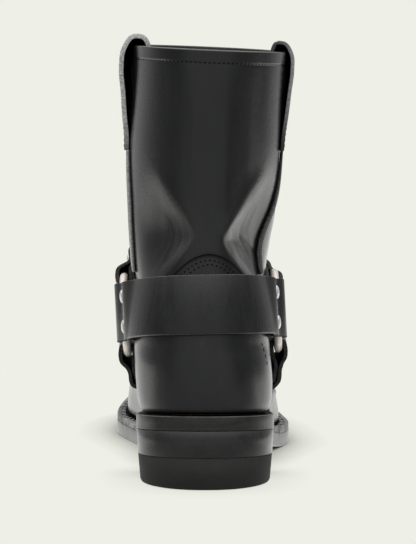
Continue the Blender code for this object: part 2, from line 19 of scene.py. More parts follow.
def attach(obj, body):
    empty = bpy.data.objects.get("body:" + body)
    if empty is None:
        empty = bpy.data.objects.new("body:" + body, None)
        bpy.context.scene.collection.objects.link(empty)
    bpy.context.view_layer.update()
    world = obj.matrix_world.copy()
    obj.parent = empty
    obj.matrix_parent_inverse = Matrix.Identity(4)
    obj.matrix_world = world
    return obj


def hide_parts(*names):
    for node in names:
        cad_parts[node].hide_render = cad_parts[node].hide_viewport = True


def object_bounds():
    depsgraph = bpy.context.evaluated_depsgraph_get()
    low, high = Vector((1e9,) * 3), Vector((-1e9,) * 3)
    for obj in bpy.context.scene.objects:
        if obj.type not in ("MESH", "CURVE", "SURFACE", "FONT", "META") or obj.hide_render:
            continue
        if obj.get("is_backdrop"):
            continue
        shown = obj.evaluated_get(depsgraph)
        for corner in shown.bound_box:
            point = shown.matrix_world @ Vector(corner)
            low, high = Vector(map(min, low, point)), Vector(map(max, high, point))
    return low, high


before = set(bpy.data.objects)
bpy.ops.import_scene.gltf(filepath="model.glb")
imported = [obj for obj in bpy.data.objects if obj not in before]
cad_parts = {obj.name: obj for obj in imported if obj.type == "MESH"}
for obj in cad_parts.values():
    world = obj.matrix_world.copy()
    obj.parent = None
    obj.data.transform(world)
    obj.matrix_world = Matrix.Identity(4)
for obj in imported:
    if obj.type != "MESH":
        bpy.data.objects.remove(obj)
cad_low, cad_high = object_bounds()
MM = 0.001
print("solids:", len(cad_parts), "box:", [round(v / MM) for v in cad_high - cad_low], "mm")

# %% [markdown]
# ## The camera
#
# A product picture of a boot is taken from some way off with a long lens, so that the heel doesn't swell in
# front of the toe. This camera stands a metre and a half behind the heel, a little above the collar, and
# looks slightly down. The picture is upright, so the lens is worked out on its long side.

# %% Camera
SETBACK = 38.0  # from the back of the sole to the origin
CAMERA_BACK, CAMERA_HIGH, CAMERA_SIDE = 1500.0, 265.0, 1.6
CAMERA_DOWN = 5.465
LENS, SENSOR = 182.3, 36.0

scene = bpy.context.scene
scene.view_settings.view_transform = "Standard"
camera_data = bpy.data.cameras.new("camera")
camera_data.lens = LENS
camera_data.sensor_width = SENSOR
camera = bpy.data.objects.new("camera", camera_data)
camera.location = Vector((CAMERA_SIDE, -SETBACK - CAMERA_BACK, CAMERA_HIGH)) * MM
camera.rotation_euler = (math.radians(90 - CAMERA_DOWN), 0, 0)
scene.collection.objects.link(camera)
scene.camera = camera
print("camera:", [round(v, 3) for v in camera.location])

# %% [markdown]
# ## Writing node trees as sums
#
# Wiring nodes one by one hides what they work out. This class wraps one socket of a node tree. Plus, minus
# and times on it add Math nodes, and `node` adds any other kind, so a finish can be read as a formula.


# %% A socket that can be reckoned with
class Value:
    """One socket of a node tree. Sums on it add Math nodes."""

    def __init__(self, tree, socket=None):
        self.tree = tree
        self.socket = socket

    def node(self, kind, settings=None, links=None, out=0):
        """Adds a node: its settings first, then a value or a link for each socket."""
        made = self.tree.nodes.new(kind)
        for key, setting in (settings or {}).items():
            setattr(made, key, setting)
        for key, given in (links or {}).items():
            if isinstance(given, Value):
                self.tree.links.new(given.socket, made.inputs[key])
            else:
                made.inputs[key].default_value = given
        return Value(self.tree, made.outputs[out])

    def into(self, socket):
        self.tree.links.new(self.socket, socket)

    def maths(self, operation, first, second):
        return self.node("ShaderNodeMath", {"operation": operation}, {0: first, 1: second})

    def __add__(self, other):
        return self.maths("ADD", self, other)

    def __sub__(self, other):
        return self.maths("SUBTRACT", self, other)

    def __rsub__(self, other):
        return self.maths("SUBTRACT", other, self)

    def __mul__(self, other):
        return self.maths("MULTIPLY", self, other)

    __radd__ = __add__
    __rmul__ = __mul__

    def ease(self, low, high):
        """0 at low and 1 at high, with a soft start and end."""
        links = {"Value": self, "From Min": low, "From Max": high}
        return self.node("ShaderNodeMapRange", {"interpolation_type": "SMOOTHSTEP"}, links)

    def blend(self, low, high):
        """A colour between two, by this value."""
        return self.node("ShaderNodeMix", {"data_type": "RGBA"}, {0: self, 6: low, 7: high}, out=2)


# %% [markdown]
# ## Light and floor
#
# Black leather shows only what it mirrors. The picture was taken on a pale sweep with white walls at the
# sides and a light above, and the side of the camera was left dark, so the middle of the boot is nearly black
# and its edges are grey. Painting that room on the world gives light that is even over the whole floor. The
# floor itself is black and glows with the backdrop's own tone, so that the two meet without a line, and a faint
# shadow near the boot is painted into that glow from an ambient-occlusion node. The glow that the boot mirrors
# of it is painted dim on the camera's side of the heel and bright beyond.

# %% Studio light
BACKDROP = (0.855, 0.863, 0.791)
ROOM_FRONT, ROOM_DIM, ROOM_LEFT, ROOM_RIGHT, ROOM_TOP = 0.38, 0.21, 0.43, 0.38, 1.6
LEFT_SPAN, RIGHT_SPAN, DIM_SPAN = (0.03, 0.74), (0.26, 0.95), (-0.86, -0.45)  # of the way ahead
ACROSS_SPAN, TOP_SPAN = (-0.3, 0.3), (0.3, 0.95)  # of the way across, and of the way up

world = bpy.data.worlds.new("studio")
scene.world = world
world.use_nodes = True
room = Value(world.node_tree)
way = room.node("ShaderNodeTexCoord", out="Generated")
way_x, way_y, way_z = (room.node("ShaderNodeSeparateXYZ", None, {0: way}, out=axis) for axis in "XYZ")
left = way_y.ease(*LEFT_SPAN) * ROOM_LEFT
right = way_y.ease(*RIGHT_SPAN) * ROOM_RIGHT
front = ROOM_FRONT - way_y.ease(*DIM_SPAN) * ROOM_DIM
walls = front + left + way_x.ease(*ACROSS_SPAN) * (right - left)
brightness = walls + way_z.ease(*TOP_SPAN) * ROOM_TOP
lit_room = room.node("ShaderNodeBackground", None, {"Color": (1, 1, 1, 1), "Strength": brightness})
backdrop = room.node("ShaderNodeBackground", None, {"Color": (*BACKDROP, 1)})
seen = room.node("ShaderNodeLightPath", out="Is Camera Ray")
room.node("ShaderNodeMixShader", None, {0: seen, 1: lit_room, 2: backdrop}).into(
    world.node_tree.nodes["World Output"].inputs["Surface"]
)
print("room: front, left, right, top", ROOM_FRONT, ROOM_LEFT, ROOM_RIGHT, ROOM_TOP)

# %% Floor
# painted shadow: the floor is black and glows, and its shade near the boot is painted into the glow from an
# ambient-occlusion node
FLOOR_SHADE = (0.02, 0.02, 0.018)  # where the boot stands on it
SHADE_REACH = 0.026
SHADE_LEAST, SHADE_MOST, SHADE_SPAN = 0.2, 1.1, (-0.01, 0.07)  # how deep the painted shadow is: faint behind the heel, deep under the arch
MIRRORED_NEAR, MIRRORED_FAR = (0.34, 0.34, 0.33, 1), (1.25, 1.25, 1.21, 1)  # the floor's glow as the boot mirrors it, painted dim near the camera and bright beyond
MIRRORED_SPAN = (-0.05, 0.05)
FLOOR_SIDE, FLOOR_NEAR, FLOOR_FAR = 0.9, -0.205, 1.3
FLOOR_DROP = 0.0002  # keeps the floor's face off the sole's

floor_mesh = bpy.data.meshes.new("floor")
corners = [
    (-FLOOR_SIDE, FLOOR_NEAR, -FLOOR_DROP),
    (FLOOR_SIDE, FLOOR_NEAR, -FLOOR_DROP),
    (FLOOR_SIDE, FLOOR_FAR, -FLOOR_DROP),
    (-FLOOR_SIDE, FLOOR_FAR, -FLOOR_DROP),
]
floor_mesh.from_pydata(corners, [], [(0, 1, 2, 3)])
floor = bpy.data.objects.new("floor", floor_mesh)
scene.collection.objects.link(floor)
floor_material = bpy.data.materials.new("pale floor")
floor_material.use_nodes = True
floor_shader = floor_material.node_tree.nodes["Principled BSDF"]
floor_start = Value(floor_material.node_tree)
reach = {"Distance": SHADE_REACH}
open_sky = floor_start.node("ShaderNodeAmbientOcclusion", {"samples": 16}, reach, out="AO")
seen = floor_start.node("ShaderNodeLightPath", out="Is Camera Ray")
floor_place = floor_start.node("ShaderNodeTexCoord", out="Object")
floor_y = floor_start.node("ShaderNodeSeparateXYZ", None, {0: floor_place}, out="Y")
lifted = floor_y.ease(*SHADE_SPAN) * (SHADE_MOST - SHADE_LEAST) + SHADE_LEAST
# painted shadow in the floor's glow
shown = ((1 - open_sky) * lifted).blend((*BACKDROP, 1), (*FLOOR_SHADE, 1))
# painted light: the glow that reflections see
mirrored = floor_y.ease(*MIRRORED_SPAN).blend(MIRRORED_NEAR, MIRRORED_FAR)
seen.blend(mirrored, shown).into(floor_shader.inputs["Emission Color"])
floor_shader.inputs["Emission Strength"].default_value = 1
floor_shader.inputs["Base Color"].default_value = (0, 0, 0, 1)
floor_shader.inputs["Roughness"].default_value = 1
floor_shader.inputs["Specular IOR Level"].default_value = 0
floor_mesh.materials.append(floor_material)
floor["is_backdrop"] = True
print("floor:", 2 * FLOOR_SIDE, "m across")

# %% [markdown]
# ## The finishes
#
# Black dressed leather has a satin face with fine pores and a slow change from tighter to looser hide. Where it
# is cut, the pale fibres show, and where a fold pulls it hard, its dressing pales, which is also painted on as
# a highlight on the folds' facets. One recipe covers the upper, the straps and the loops: marks that the meshes
# carry say where the leather is cut, where it is stretched and painted pale as a highlight, where it is painted
# black as shade, and where its rough inner side shows.


# %% Starting a finish
def finish(name, **constants):
    """A material with its constant sockets set. Gives the material, its shader and the start of its nodes."""
    material = bpy.data.materials.new(name)
    material.use_nodes = True
    shader = material.node_tree.nodes["Principled BSDF"]
    for key, constant in constants.items():
        shader.inputs[key.replace("_", " ")].default_value = constant
    return material, shader, Value(material.node_tree)


def place_in(start):
    """Where a point is on its piece."""
    return start.node("ShaderNodeTexCoord", out="Object")


def marks_in(start, *names):
    """Marks that the mesh carries, by their names."""
    return [start.node("ShaderNodeAttribute", {"attribute_name": name}, out="Fac") for name in names]


def noise(start, place, scale, detail=2.0, roughness=0.5):
    links = {"Vector": place, "Scale": scale, "Detail": detail, "Roughness": roughness}
    return start.node("ShaderNodeTexNoise", None, links)


def stretched(start, place, scale):
    """Coordinates drawn out along an axis, for streaks."""
    return start.node("ShaderNodeMapping", None, {"Vector": place, "Scale": scale})


def bumped(start, height, depth, strength):
    links = {"Height": height, "Distance": depth, "Strength": strength}
    return start.node("ShaderNodeBump", None, links)


# %% Leather
HIDE_DARK, HIDE_LIGHT = (0.0086, 0.0092, 0.0102, 1), (0.0162, 0.0168, 0.0178, 1)
STRAP_LIGHT = (0.0095, 0.0098, 0.0104, 1)
# the grey of stretched dressing, which also serves as a painted highlight on the folds' facets
STRETCH_HIGHLIGHT_DARK, STRETCH_HIGHLIGHT_LIGHT = (0.07, 0.07, 0.07, 1), (0.5, 0.497, 0.49, 1)
FIBRE_DARK, FIBRE_LIGHT = (0.28, 0.275, 0.27, 1), (0.95, 0.94, 0.92, 1)
FLESH_DARK, FLESH_LIGHT = (0.008, 0.008, 0.008, 1), (0.02, 0.019, 0.018, 1)
CORD_X, FOLDS_Z, FOLDS_ROUND = 0.003, 0.14, 0.00004  # where the streaks turn
STREAK_COS, STREAK_SIN, STREAK_FINE, STREAK_LONG = 0.84, 0.54, 560, 40


def slanted(start, place):
    """Coordinates for streaks that run down and outward, the same on both sides of the heel cord."""
    x = start.node("ShaderNodeSeparateXYZ", None, {0: place}, out="X") - CORD_X
    x = start.node("ShaderNodeMath", {"operation": "ABSOLUTE"}, {0: x})
    z = start.node("ShaderNodeSeparateXYZ", None, {0: place}, out="Z") - FOLDS_Z
    z = start.node("ShaderNodeMath", {"operation": "SQRT"}, {0: z * z + FOLDS_ROUND})
    across, along = x * STREAK_COS - z * STREAK_SIN, x * STREAK_SIN + z * STREAK_COS
    return start.node("ShaderNodeCombineXYZ", None, {0: across * STREAK_FINE, 1: along * STREAK_LONG})


def leather(name, streak, gloss, lines, light):
    """Dressed black hide. Streak draws the hide's lines out along an axis, and lines is how deep they are."""
    material, shader, start = finish(name, Specular_IOR_Level=0.7)
    place = place_in(start)
    hide = noise(start, stretched(start, place, streak), 60.0, 4.0, 0.6)
    cloud = noise(start, place, 22.0)
    pebble = noise(start, place, 420.0, 3.0)
    pores = start.node("ShaderNodeTexVoronoi", None, {"Vector": place, "Scale": 1150.0})
    fibres = noise(start, stretched(start, place, (1, 0.25, 1)), 900.0, 3.0, 0.7)
    cut, flesh, pulled, painted_shade = marks_in(start, "cut", "flesh", "pulled", "painted_shade")
    streaks = noise(start, slanted(start, place), 1.0, 3.0, 0.65)
    face = (hide * 0.7 + cloud * 0.3).ease(0.3, 0.7).blend(HIDE_DARK, light)
    # painted highlight: the folds' facets turn grey, partly the paling of stretched dressing
    stretch_highlight_tone = streaks.ease(0.3, 0.75).blend(STRETCH_HIGHLIGHT_DARK, STRETCH_HIGHLIGHT_LIGHT)
    # painted shade: marked places go almost black
    face = painted_shade.blend(pulled.blend(face, stretch_highlight_tone), (0.001, 0.001, 0.001, 1))
    rough_side = pebble.ease(0.3, 0.7).blend(FLESH_DARK, FLESH_LIGHT)
    edge = fibres.ease(0.25, 0.75).blend(FIBRE_DARK, FIBRE_LIGHT)
    flesh.blend(cut.blend(face, edge), rough_side).into(shader.inputs["Base Color"])
    satin = gloss + (hide - 0.5) * 0.3 + (pebble - 0.5) * 0.1
    (satin + cut * 0.4 + flesh * 0.35 + painted_shade * 0.5 + pulled * 0.15).into(shader.inputs["Roughness"])
    painted_shade.into(shader.inputs["Metallic"])  # painted shade: a black metal mirrors nothing, so the marked places lose their reflection as well
    relief = pores * 0.35 + pebble * 0.5 + hide * lines + cut * fibres + pulled * streaks
    bumped(start, relief, 0.00022, 0.35).into(shader.inputs["Normal"])
    return material


upper_leather = leather("upper leather", streak=(1, 1, 0.22), gloss=0.24, lines=0.5, light=HIDE_LIGHT)
strap_leather = leather("strap leather", streak=(7, 7, 0.25), gloss=0.31, lines=1.5, light=STRAP_LIGHT)
print("leather:", upper_leather.name, strap_leather.name)


# %% Sole edge, rubber, insole, thread and metal
# DUST also paints the outsole's top edge pale as a highlight
DUST, WELT_DUST = (0.17, 0.168, 0.163, 1), (0.34, 0.336, 0.326, 1)
EDGE_DARK, EDGE_LIGHT = (0.014, 0.0138, 0.0134, 1), (0.04, 0.0396, 0.0384, 1)
STACK_DARK, STACK_LIGHT = (0.02, 0.02, 0.0202, 1), (0.036, 0.036, 0.036, 1)
RUBBER_DARK, RUBBER_LIGHT = (0.011, 0.0107, 0.0102, 1), (0.021, 0.0204, 0.0195, 1)
BOARD_DARK, BOARD_LIGHT = (0.2, 0.13, 0.075, 1), (0.34, 0.235, 0.145, 1)
THREAD_DARK, THREAD_LIGHT = (0.34, 0.336, 0.326, 1), (0.62, 0.612, 0.594, 1)
WAX_DARK, WAX_LIGHT = (0.0015, 0.0015, 0.0015, 1), (0.006, 0.006, 0.006, 1)


def worn(name, dark, light, gloss, lines, grit, depth, shine=0.5, dust_tone=DUST):
    """An edge stained with dye, or rubber: faint level lines from the sander, dust that greys it, a pale
    painted highlight along the outsole's top edge through the same mark, and painted black shade where it is
    marked.
    """
    material, shader, start = finish(name, Specular_IOR_Level=shine)
    place = place_in(start)
    sanded = noise(start, stretched(start, place, (1, 1, lines)), 40.0, 3.0, 0.65)
    dust = noise(start, place, 130.0, 5.0, 0.7)
    speck = noise(start, place, grit, 2.0)
    tone = (sanded * 0.5 + dust * 0.5).ease(0.28, 0.72)
    painted_shade, dusty = marks_in(start, "painted_shade", "dusty")
    face = (dusty * dust.ease(0.2, 0.7)).blend(tone.blend(dark, light), dust_tone)
    # painted shade: marked places go almost black
    painted_shade.blend(face, (0.002, 0.002, 0.002, 1)).into(shader.inputs["Base Color"])
    (gloss + (dust - 0.5) * 0.3 + painted_shade * 0.3).into(shader.inputs["Roughness"])
    bumped(start, sanded * 0.5 + speck, depth, 0.4).into(shader.inputs["Normal"])
    return material


sole_edge = worn("sole edge", EDGE_DARK, EDGE_LIGHT, gloss=0.34, lines=22.0, grit=800.0, depth=0.0003)
heel_stack = worn("heel stack", STACK_DARK, STACK_LIGHT, gloss=0.27, lines=40.0, grit=900.0, depth=0.0001)
rubber = worn("heel rubber", RUBBER_DARK, RUBBER_LIGHT, gloss=0.74, lines=3.0, grit=1100.0, depth=0.0004)
insole_board = worn("insole leather", BOARD_DARK, BOARD_LIGHT, gloss=0.7, lines=1.0, grit=700.0, depth=0.0003)
welt_thread = worn("welt thread", THREAD_DARK, THREAD_LIGHT, 0.5, 1.0, 900.0, 0.0002, shine=0.1)
welt_edge = worn("welt edge", EDGE_DARK, EDGE_LIGHT, 0.6, 22.0, 800.0, 0.0003, 0.05, WELT_DUST)
thread, thread_shader, thread_start = finish("waxed thread", Specular_IOR_Level=0.1)
twist = noise(thread_start, place_in(thread_start), 1600.0)
twist.blend(WAX_DARK, WAX_LIGHT).into(thread_shader.inputs["Base Color"])
(0.7 + twist * 0.3).into(thread_shader.inputs["Roughness"])


def metal(name, dark, light, metallic, gloss):
    """Plated metal, dulled in patches. Its brightness is painted as a pale base colour with little metallic
    mirroring, in place of the reflection that plated metal shows.
    """
    material, shader, start = finish(name, Metallic=metallic)
    dull = noise(start, place_in(start), 240.0, 4.0, 0.6)
    dull.ease(0.3, 0.7).blend(light, dark).into(shader.inputs["Base Color"])
    (gloss + dull * 0.2).into(shader.inputs["Roughness"])
    bumped(start, dull, 0.0001, 0.15).into(shader.inputs["Normal"])
    return material


# pale base with little metal: a painted reflection that keeps the rings and rivets bright
ring_plate = metal("ring plate", (0.86, 0.77, 0.68, 1), (0.98, 0.92, 0.85, 1), 0.15, 0.2)
rivet_plate = metal("rivet plate", (0.70, 0.70, 0.69, 1), (0.90, 0.90, 0.89, 1), 0.45, 0.2)
print("finishes:", len(bpy.data.materials))

# %% [markdown]
# ## The shape of the last
#
# A boot is pulled over a last, a solid foot of wood, and takes its shape. Here that shape is one function: a
# stack of rings from the feather line, where the upper meets the sole, to the collar. Each ring has a heel, a
# waist and a ball width and rounded ends. Reading the table smoothly between its rows gives a point of the
# boot for any way round and any height, so the upper, its panels and its stitches all follow one form.

# %% Sizes of the last, in millimetres
SOLE_LENGTH = 302.0
SEAM_GAP, SEAM_FINE = 0.3, 0.05  # between the layers of the sole
OUTSOLE_THICK = 8.2
WELT_THICK, WELT_START, WELT_FULL, WELT_TIP = 4.2, 64.0, 90.0, 70.0
WALL = 2.2
COLLAR, COLLAR_TILT = 242.0, 0.045
HEEL_AT, WAIST_AT = 0.13, 0.38  # shares of a ring's length
BALL_AT = {1: 0.61, -1: 0.71}  # outer and inner side

Profile = namedtuple("Profile", "place y z slope")
SOLE_PROFILE = (
    Profile("heel back", 0, 33.4, -0.1),
    Profile("heel breast", 68, 26.6, -0.1),
    Profile("ball starts", 162, 0, 0),
    Profile("ball ends", 222, 0, 0),
    Profile("toe tip", 302, 11, 0.26),
)
Swing = namedtuple("Swing", "y x")  # the foot's middle line, swinging to the inner side at the toe
MIDDLE = (Swing(0, 0), Swing(70, 0.5), Swing(112, 3), Swing(178, 0), Swing(215, -4.2), Swing(302, -10))
Level = namedtuple(
    "Level",
    "name back_y back_rise front_y front_rise heel waist ball back_end front_end back_power front_power"
    " flare lean follow",
)
LEVELS = (
    Level("feather", 5.5, 1.0, 293, 0.8, 33.0, 28.0, 42.6, 0.13, 0.36, 2.2, 2.3, 1.0, 0.0, 1.0),
    Level("welt roll", 3.4, 7.5, 296, 6.7, 35.4, 30.5, 42.9, 0.13, 0.36, 2.2, 2.3, 1.0, -0.2, 1.0),
    Level("wall", 2.4, 18.5, 296.5, 17.7, 36.4, 32.0, 41.4, 0.14, 0.37, 2.2, 2.3, 1.0, -0.5, 1.0),
    Level("shoulder", 2.6, 28.5, 289, 31.5, 36.4, 33.2, 40.4, 0.15, 0.40, 2.2, 2.2, 1.0, -1.2, 1.0),
    Level("toe top", 3.6, 37.0, 269, 43.5, 36.2, 34.2, 38.4, 0.17, 0.45, 2.1, 2.0, 0.95, -1.8, 1.0),
    Level("low vamp", 5.4, 46.0, 236, 55.5, 35.8, 35.0, 36.3, 0.19, 0.50, 2.1, 2.0, 0.8, -1.8, 1.0),
    Level("vamp", 8.0, 56.0, 199, 70.5, 35.6, 35.8, 35.6, 0.24, 0.54, 2.0, 2.0, 0.6, -1.6, 1.0),
    Level("instep", 10.8, 68.0, 167, 90.0, 36.4, 36.8, 36.4, 0.32, 0.55, 2.0, 2.0, 0.4, -2.4, 1.0),
    Level("ankle", 13.2, 105.0, 145, 122.0, 39.1, 39.3, 39.1, 0.43, 0.55, 2.0, 2.0, 0.2, -2.7, 0.5),
    Level("throat", 13.8, 140.0, 134, 151.0, 42.0, 42.0, 42.0, 0.50, 0.50, 2.05, 2.05, 0.0, -1.7, 0.2),
    Level("shaft", 11.6, 184.0, 130, 185.0, 43.0, 43.0, 43.0, 0.50, 0.50, 2.1, 2.1, 0.0, -0.5, 0.0),
    Level("high shaft", 8.0, 214.0, 131, 214.0, 42.9, 42.9, 42.9, 0.50, 0.50, 2.1, 2.1, 0.0, 1.2, 0.0),
    Level("collar", 4.5, 242.0, 132, 242.0, 43.3, 43.3, 43.3, 0.50, 0.50, 2.1, 2.1, 0.0, 2.8, 0.0),
)
SOLE_EDGE = Level("sole", 0, 0, SOLE_LENGTH, 0, 38.8, 33.5, 51.6, 0.13, 0.35, 2.2, 2.3, 1, 0, 1)
TOP = len(LEVELS) - 1
print("levels:", ", ".join(level.name for level in LEVELS))


# %% Reading the tables smoothly
def hermite(at, xs, ys, slopes=None):
    """A smooth curve through the points, with its own slopes where none are given."""
    xs, ys = np.asarray(xs, float), np.asarray(ys, float)
    slopes = np.gradient(ys, xs) if slopes is None else np.asarray(slopes, float)
    at = np.clip(at, xs[0], xs[-1])
    i = np.clip(np.searchsorted(xs, at, side="right") - 1, 0, len(xs) - 2)
    span = xs[i + 1] - xs[i]
    t = (at - xs[i]) / span
    start = ys[i] * (1 + 2 * t) * (1 - t) ** 2 + slopes[i] * span * t * (1 - t) ** 2
    return start + ys[i + 1] * t * t * (3 - 2 * t) + slopes[i + 1] * span * t * t * (t - 1)


def unit(ways):
    """The same ways, each of length 1."""
    return ways / np.linalg.norm(ways, axis=-1, keepdims=True)


def distances(points):
    """How far along their path the points are."""
    return np.concatenate([[0], np.cumsum(np.linalg.norm(np.diff(points, axis=0), axis=1))])


def along_path(points, per_span):
    """Smooth points through the given ones, by their distance along the way."""
    points = np.asarray(points, float)
    gone = distances(points)
    spans = len(points) - 1
    at = np.interp(np.linspace(0, spans, spans * per_span + 1), range(len(points)), gone)
    return np.stack([hermite(at, gone, column) for column in points.T], 1)


def smooth(t):
    t = np.clip(t, 0, 1)
    return t * t * (3 - 2 * t)


def sole_bottom(y):
    _, ys, zs, slopes = zip(*SOLE_PROFILE)
    return hermite(y, ys, zs, slopes)


def sole_top(y):
    welt = WELT_THICK * smooth((y - WELT_START) / (WELT_FULL - WELT_START))
    return sole_bottom(y) + OUTSOLE_THICK + welt


def level_at(number):
    rows = np.arange(len(LEVELS))
    columns = [hermite(number, rows, values) for values in list(zip(*LEVELS))[1:]]
    return Level("between", *columns)


# %% A ring of the last
def inset(level, by):
    return level._replace(
        back_y=level.back_y + by,
        front_y=level.front_y - by,
        heel=level.heel - by,
        waist=level.waist - by,
        ball=level.ball - by,
    )


def plan(level, turn):
    """x and y of a level's ring, where turn is the angle round from the back to the outer side."""
    share = (1 - np.cos(turn)) / 2
    side = np.where(np.sin(turn) >= 0, 1, -1)
    y = level.back_y + (level.front_y - level.back_y) * share
    ball_at = np.where(side > 0, BALL_AT[1], BALL_AT[-1])
    heel_part = smooth((share - HEEL_AT) / (WAIST_AT - HEEL_AT))
    ball_part = smooth((share - WAIST_AT) / (ball_at - WAIST_AT))
    half = level.heel + (level.waist - level.heel) * heel_part + (level.ball - level.waist) * ball_part
    back = np.clip((level.back_end - share) / level.back_end, 0, 1)
    front = np.clip((share - 1 + level.front_end) / level.front_end, 0, 1)
    half = half * (1 - back**level.back_power) ** (1 / level.back_power)
    half = half * (1 - front**level.front_power) ** (1 / level.front_power)
    swing = hermite(y, *zip(*MIDDLE))
    return side * half + level.flare * swing + level.lean, y


def ring_at(turn, number):
    level = level_at(number)
    x, y = plan(level, turn)
    share = (1 - np.cos(turn)) / 2
    z = level.follow * sole_top(y) + level.back_rise + (level.front_rise - level.back_rise) * share
    z = z - COLLAR_TILT * x * (z / COLLAR) ** 4
    return np.stack([x, y, z], -1)


# %% [markdown]
# ## Folds and creases
#
# A pull-on shaft stands loose at the ankle, so its leather folds in on both sides of the heel cord, deeper on
# the outer side. The two large folds are in the solids already. Here they are a little deeper, with sharper
# lips, a few fine wrinkles run into them, and the ball of the foot gets faint bends. Each is placed one by one,
# as a soft trough or ridge along a short path, because noise would put them where the leather doesn't bend.

# %% Where the leather folds
HEEL_CORD = 6.0  # degrees round from the back to the outer side
# Near, far, wide and fade are degrees round from the heel cord, reach is millimetres up and down, and rises
# and falls say how fast the lip runs out above and below its tip.
Fold = namedtuple("Fold", "side height depth near far wide fade reach rises falls pale")
# pale is how strongly a fold's facets are painted pale: stretched dressing and a painted highlight, stronger on
# the outer fold
FOLDS = (
    Fold(1, 138, 5.8, 11, 48, 23, 34, 24, 0.9, 1.15, 0.9),
    Fold(-1, 141, 4.3, 10, 40, 21, 34, 22, 1.1, 1.1, 0.16),
)
LIP = 2.5  # degrees that a fold's lip is rounded over
TIP = 4.0  # millimetres that a fold's tip is rounded over
# the paleness set out below is partly a painted highlight
PALE_REACH = 20.0  # degrees past the lip
PALE_TO, PALE_FADE = 36.0, 24.0  # degrees from the heel cord, where the paleness goes
PALE_FROM, PALE_FULL, PALE_TALL = -1.0, 3.0, 1.3  # degrees past the lip, and its height by the fold's


def past_lip(fold, bearing, z):
    """Degrees past a fold's lip, which runs out from its tip both up and down."""
    over = z - fold.height
    slant = fold.falls + (fold.rises - fold.falls) * smooth((over / TIP + 1) / 2)
    return bearing * fold.side - fold.near - slant * (np.sqrt(over**2 + TIP**2) - TIP)


Crease = namedtuple("Crease", "place path wide deep")  # x and height seen from the back; a ridge is below 0
CREASES = (
    Crease("outer lip", ((34, 175), (22, 157), (15, 146), (10.5, 139)), 4.5, -0.9),
    Crease("heel cord", ((4, 238), (4, 195), (3, 150)), 13.0, -1.5),
    Crease("outer wrinkle, high", ((13, 142), (20, 147), (29, 157)), 1.3, 0.35),
    Crease("outer wrinkle, middle", ((14, 138), (21, 135), (30, 124)), 1.2, 0.4),
    Crease("outer wrinkle, low", ((16, 135), (22, 128), (28, 117)), 1.1, 0.35),
    Crease("outer wrinkle, far", ((22, 142), (28, 136), (34, 124)), 1.3, 0.35),
    Crease("inner wrinkle", ((-9, 142), (-17, 134), (-26, 121)), 1.4, 0.3),
    Crease("inner pull", ((-5.5, 222), (-6, 180), (-4.8, 146)), 2.6, -0.22),
    Crease("outer pull", ((13, 222), (11.5, 175), (11.5, 146)), 2.6, -0.22),
)
Bend = namedtuple("Bend", "y slant wide deep")  # across the ball of the foot
BENDS = (Bend(186, 0.16, 3.4, 0.45), Bend(199, 0.1, 3.0, 0.5), Bend(213, 0.05, 3.2, 0.35))
CREASE_FADE, CREASE_START, BEHIND = 0.25, 0.15, 4  # how creases fade at their ends and round the sides
BEND_FROM, BEND_FADE = 24.0, 20.0  # over the sole
HEM, HEM_THICK, HEM_SOFT = 6.8, 0.15, 0.8  # the collar's turned edge
HEM_PULL = 0.22  # how far its stitches draw it in


def fold_depth(turn, z):
    bearing = np.degrees(np.arctan2(np.sin(turn), np.cos(turn))) - HEEL_CORD
    depth = np.zeros_like(z)
    for fold in FOLDS:
        away = past_lip(fold, bearing, z)
        share = np.clip((away + np.sqrt(away**2 + LIP**2)) / 2 / fold.wide, 0, 1)
        ends = 1 - smooth((bearing * fold.side - fold.far) / fold.fade)
        bell = np.exp(-(((z - fold.height) / fold.reach) ** 2))
        depth = depth + fold.depth * (1 - (1 - share) ** 2) * ends * bell
    return depth


def fold_pale_and_highlight(turn, z):
    """Where a fold draws the leather so hard that its dressing pales, most at the lip: also a painted highlight
    on the fold's facets, strongest on the outer fold.
    """
    bearing = np.degrees(np.arctan2(np.sin(turn), np.cos(turn))) - HEEL_CORD
    pale = np.zeros_like(z)
    for fold in FOLDS:
        away = past_lip(fold, bearing, z)
        bell = np.exp(-(((z - fold.height) / (fold.reach * PALE_TALL)) ** 2))
        bell = bell * (1 - smooth((bearing * fold.side - PALE_TO) / PALE_FADE))
        drawn = smooth((away - PALE_FROM) / (PALE_FULL - PALE_FROM))
        pale = pale + fold.pale * drawn * np.exp(-np.maximum(away, 0) / PALE_REACH) * bell
    return pale


def crease_depth(turn, x, z):
    """The small creases at the back, each along its path and fading at its ends."""
    depth = np.zeros_like(z)
    behind = smooth(np.cos(turn) * BEHIND)
    for crease in CREASES:
        nearest = np.full_like(z, 1e9)
        spans = len(crease.path) - 1
        fade = np.zeros_like(z)
        for k in range(spans):
            (x0, z0), (x1, z1) = crease.path[k : k + 2]
            t = ((x - x0) * (x1 - x0) + (z - z0) * (z1 - z0)) / ((x1 - x0) ** 2 + (z1 - z0) ** 2)
            t = np.clip(t, 0, 1)
            away = np.hypot(x - x0 - t * (x1 - x0), z - z0 - t * (z1 - z0))
            along = (k + t) / spans
            ends = smooth(np.minimum(along, 1 - along) / CREASE_FADE + CREASE_START)
            fade = np.where(away < nearest, ends, fade)
            nearest = np.minimum(nearest, away)
        depth = depth + crease.deep * np.exp(-((nearest / crease.wide) ** 2)) * fade
    return depth * behind


def bend_depth(x, y, z):
    depth = np.zeros_like(z)
    for bend in BENDS:
        away = (y - bend.y - bend.slant * x) / bend.wide
        depth = depth + bend.deep * np.exp(-(away**2)) * smooth((z - sole_top(y) - BEND_FROM) / BEND_FADE)
    return depth


print("creases:", len(FOLDS), "folds,", len(CREASES), "small ones at the ankle,", len(BENDS), "at the ball")

# %% Points of the upper's face
SMALL = 0.01  # a small step round or up the boot, to read its slope


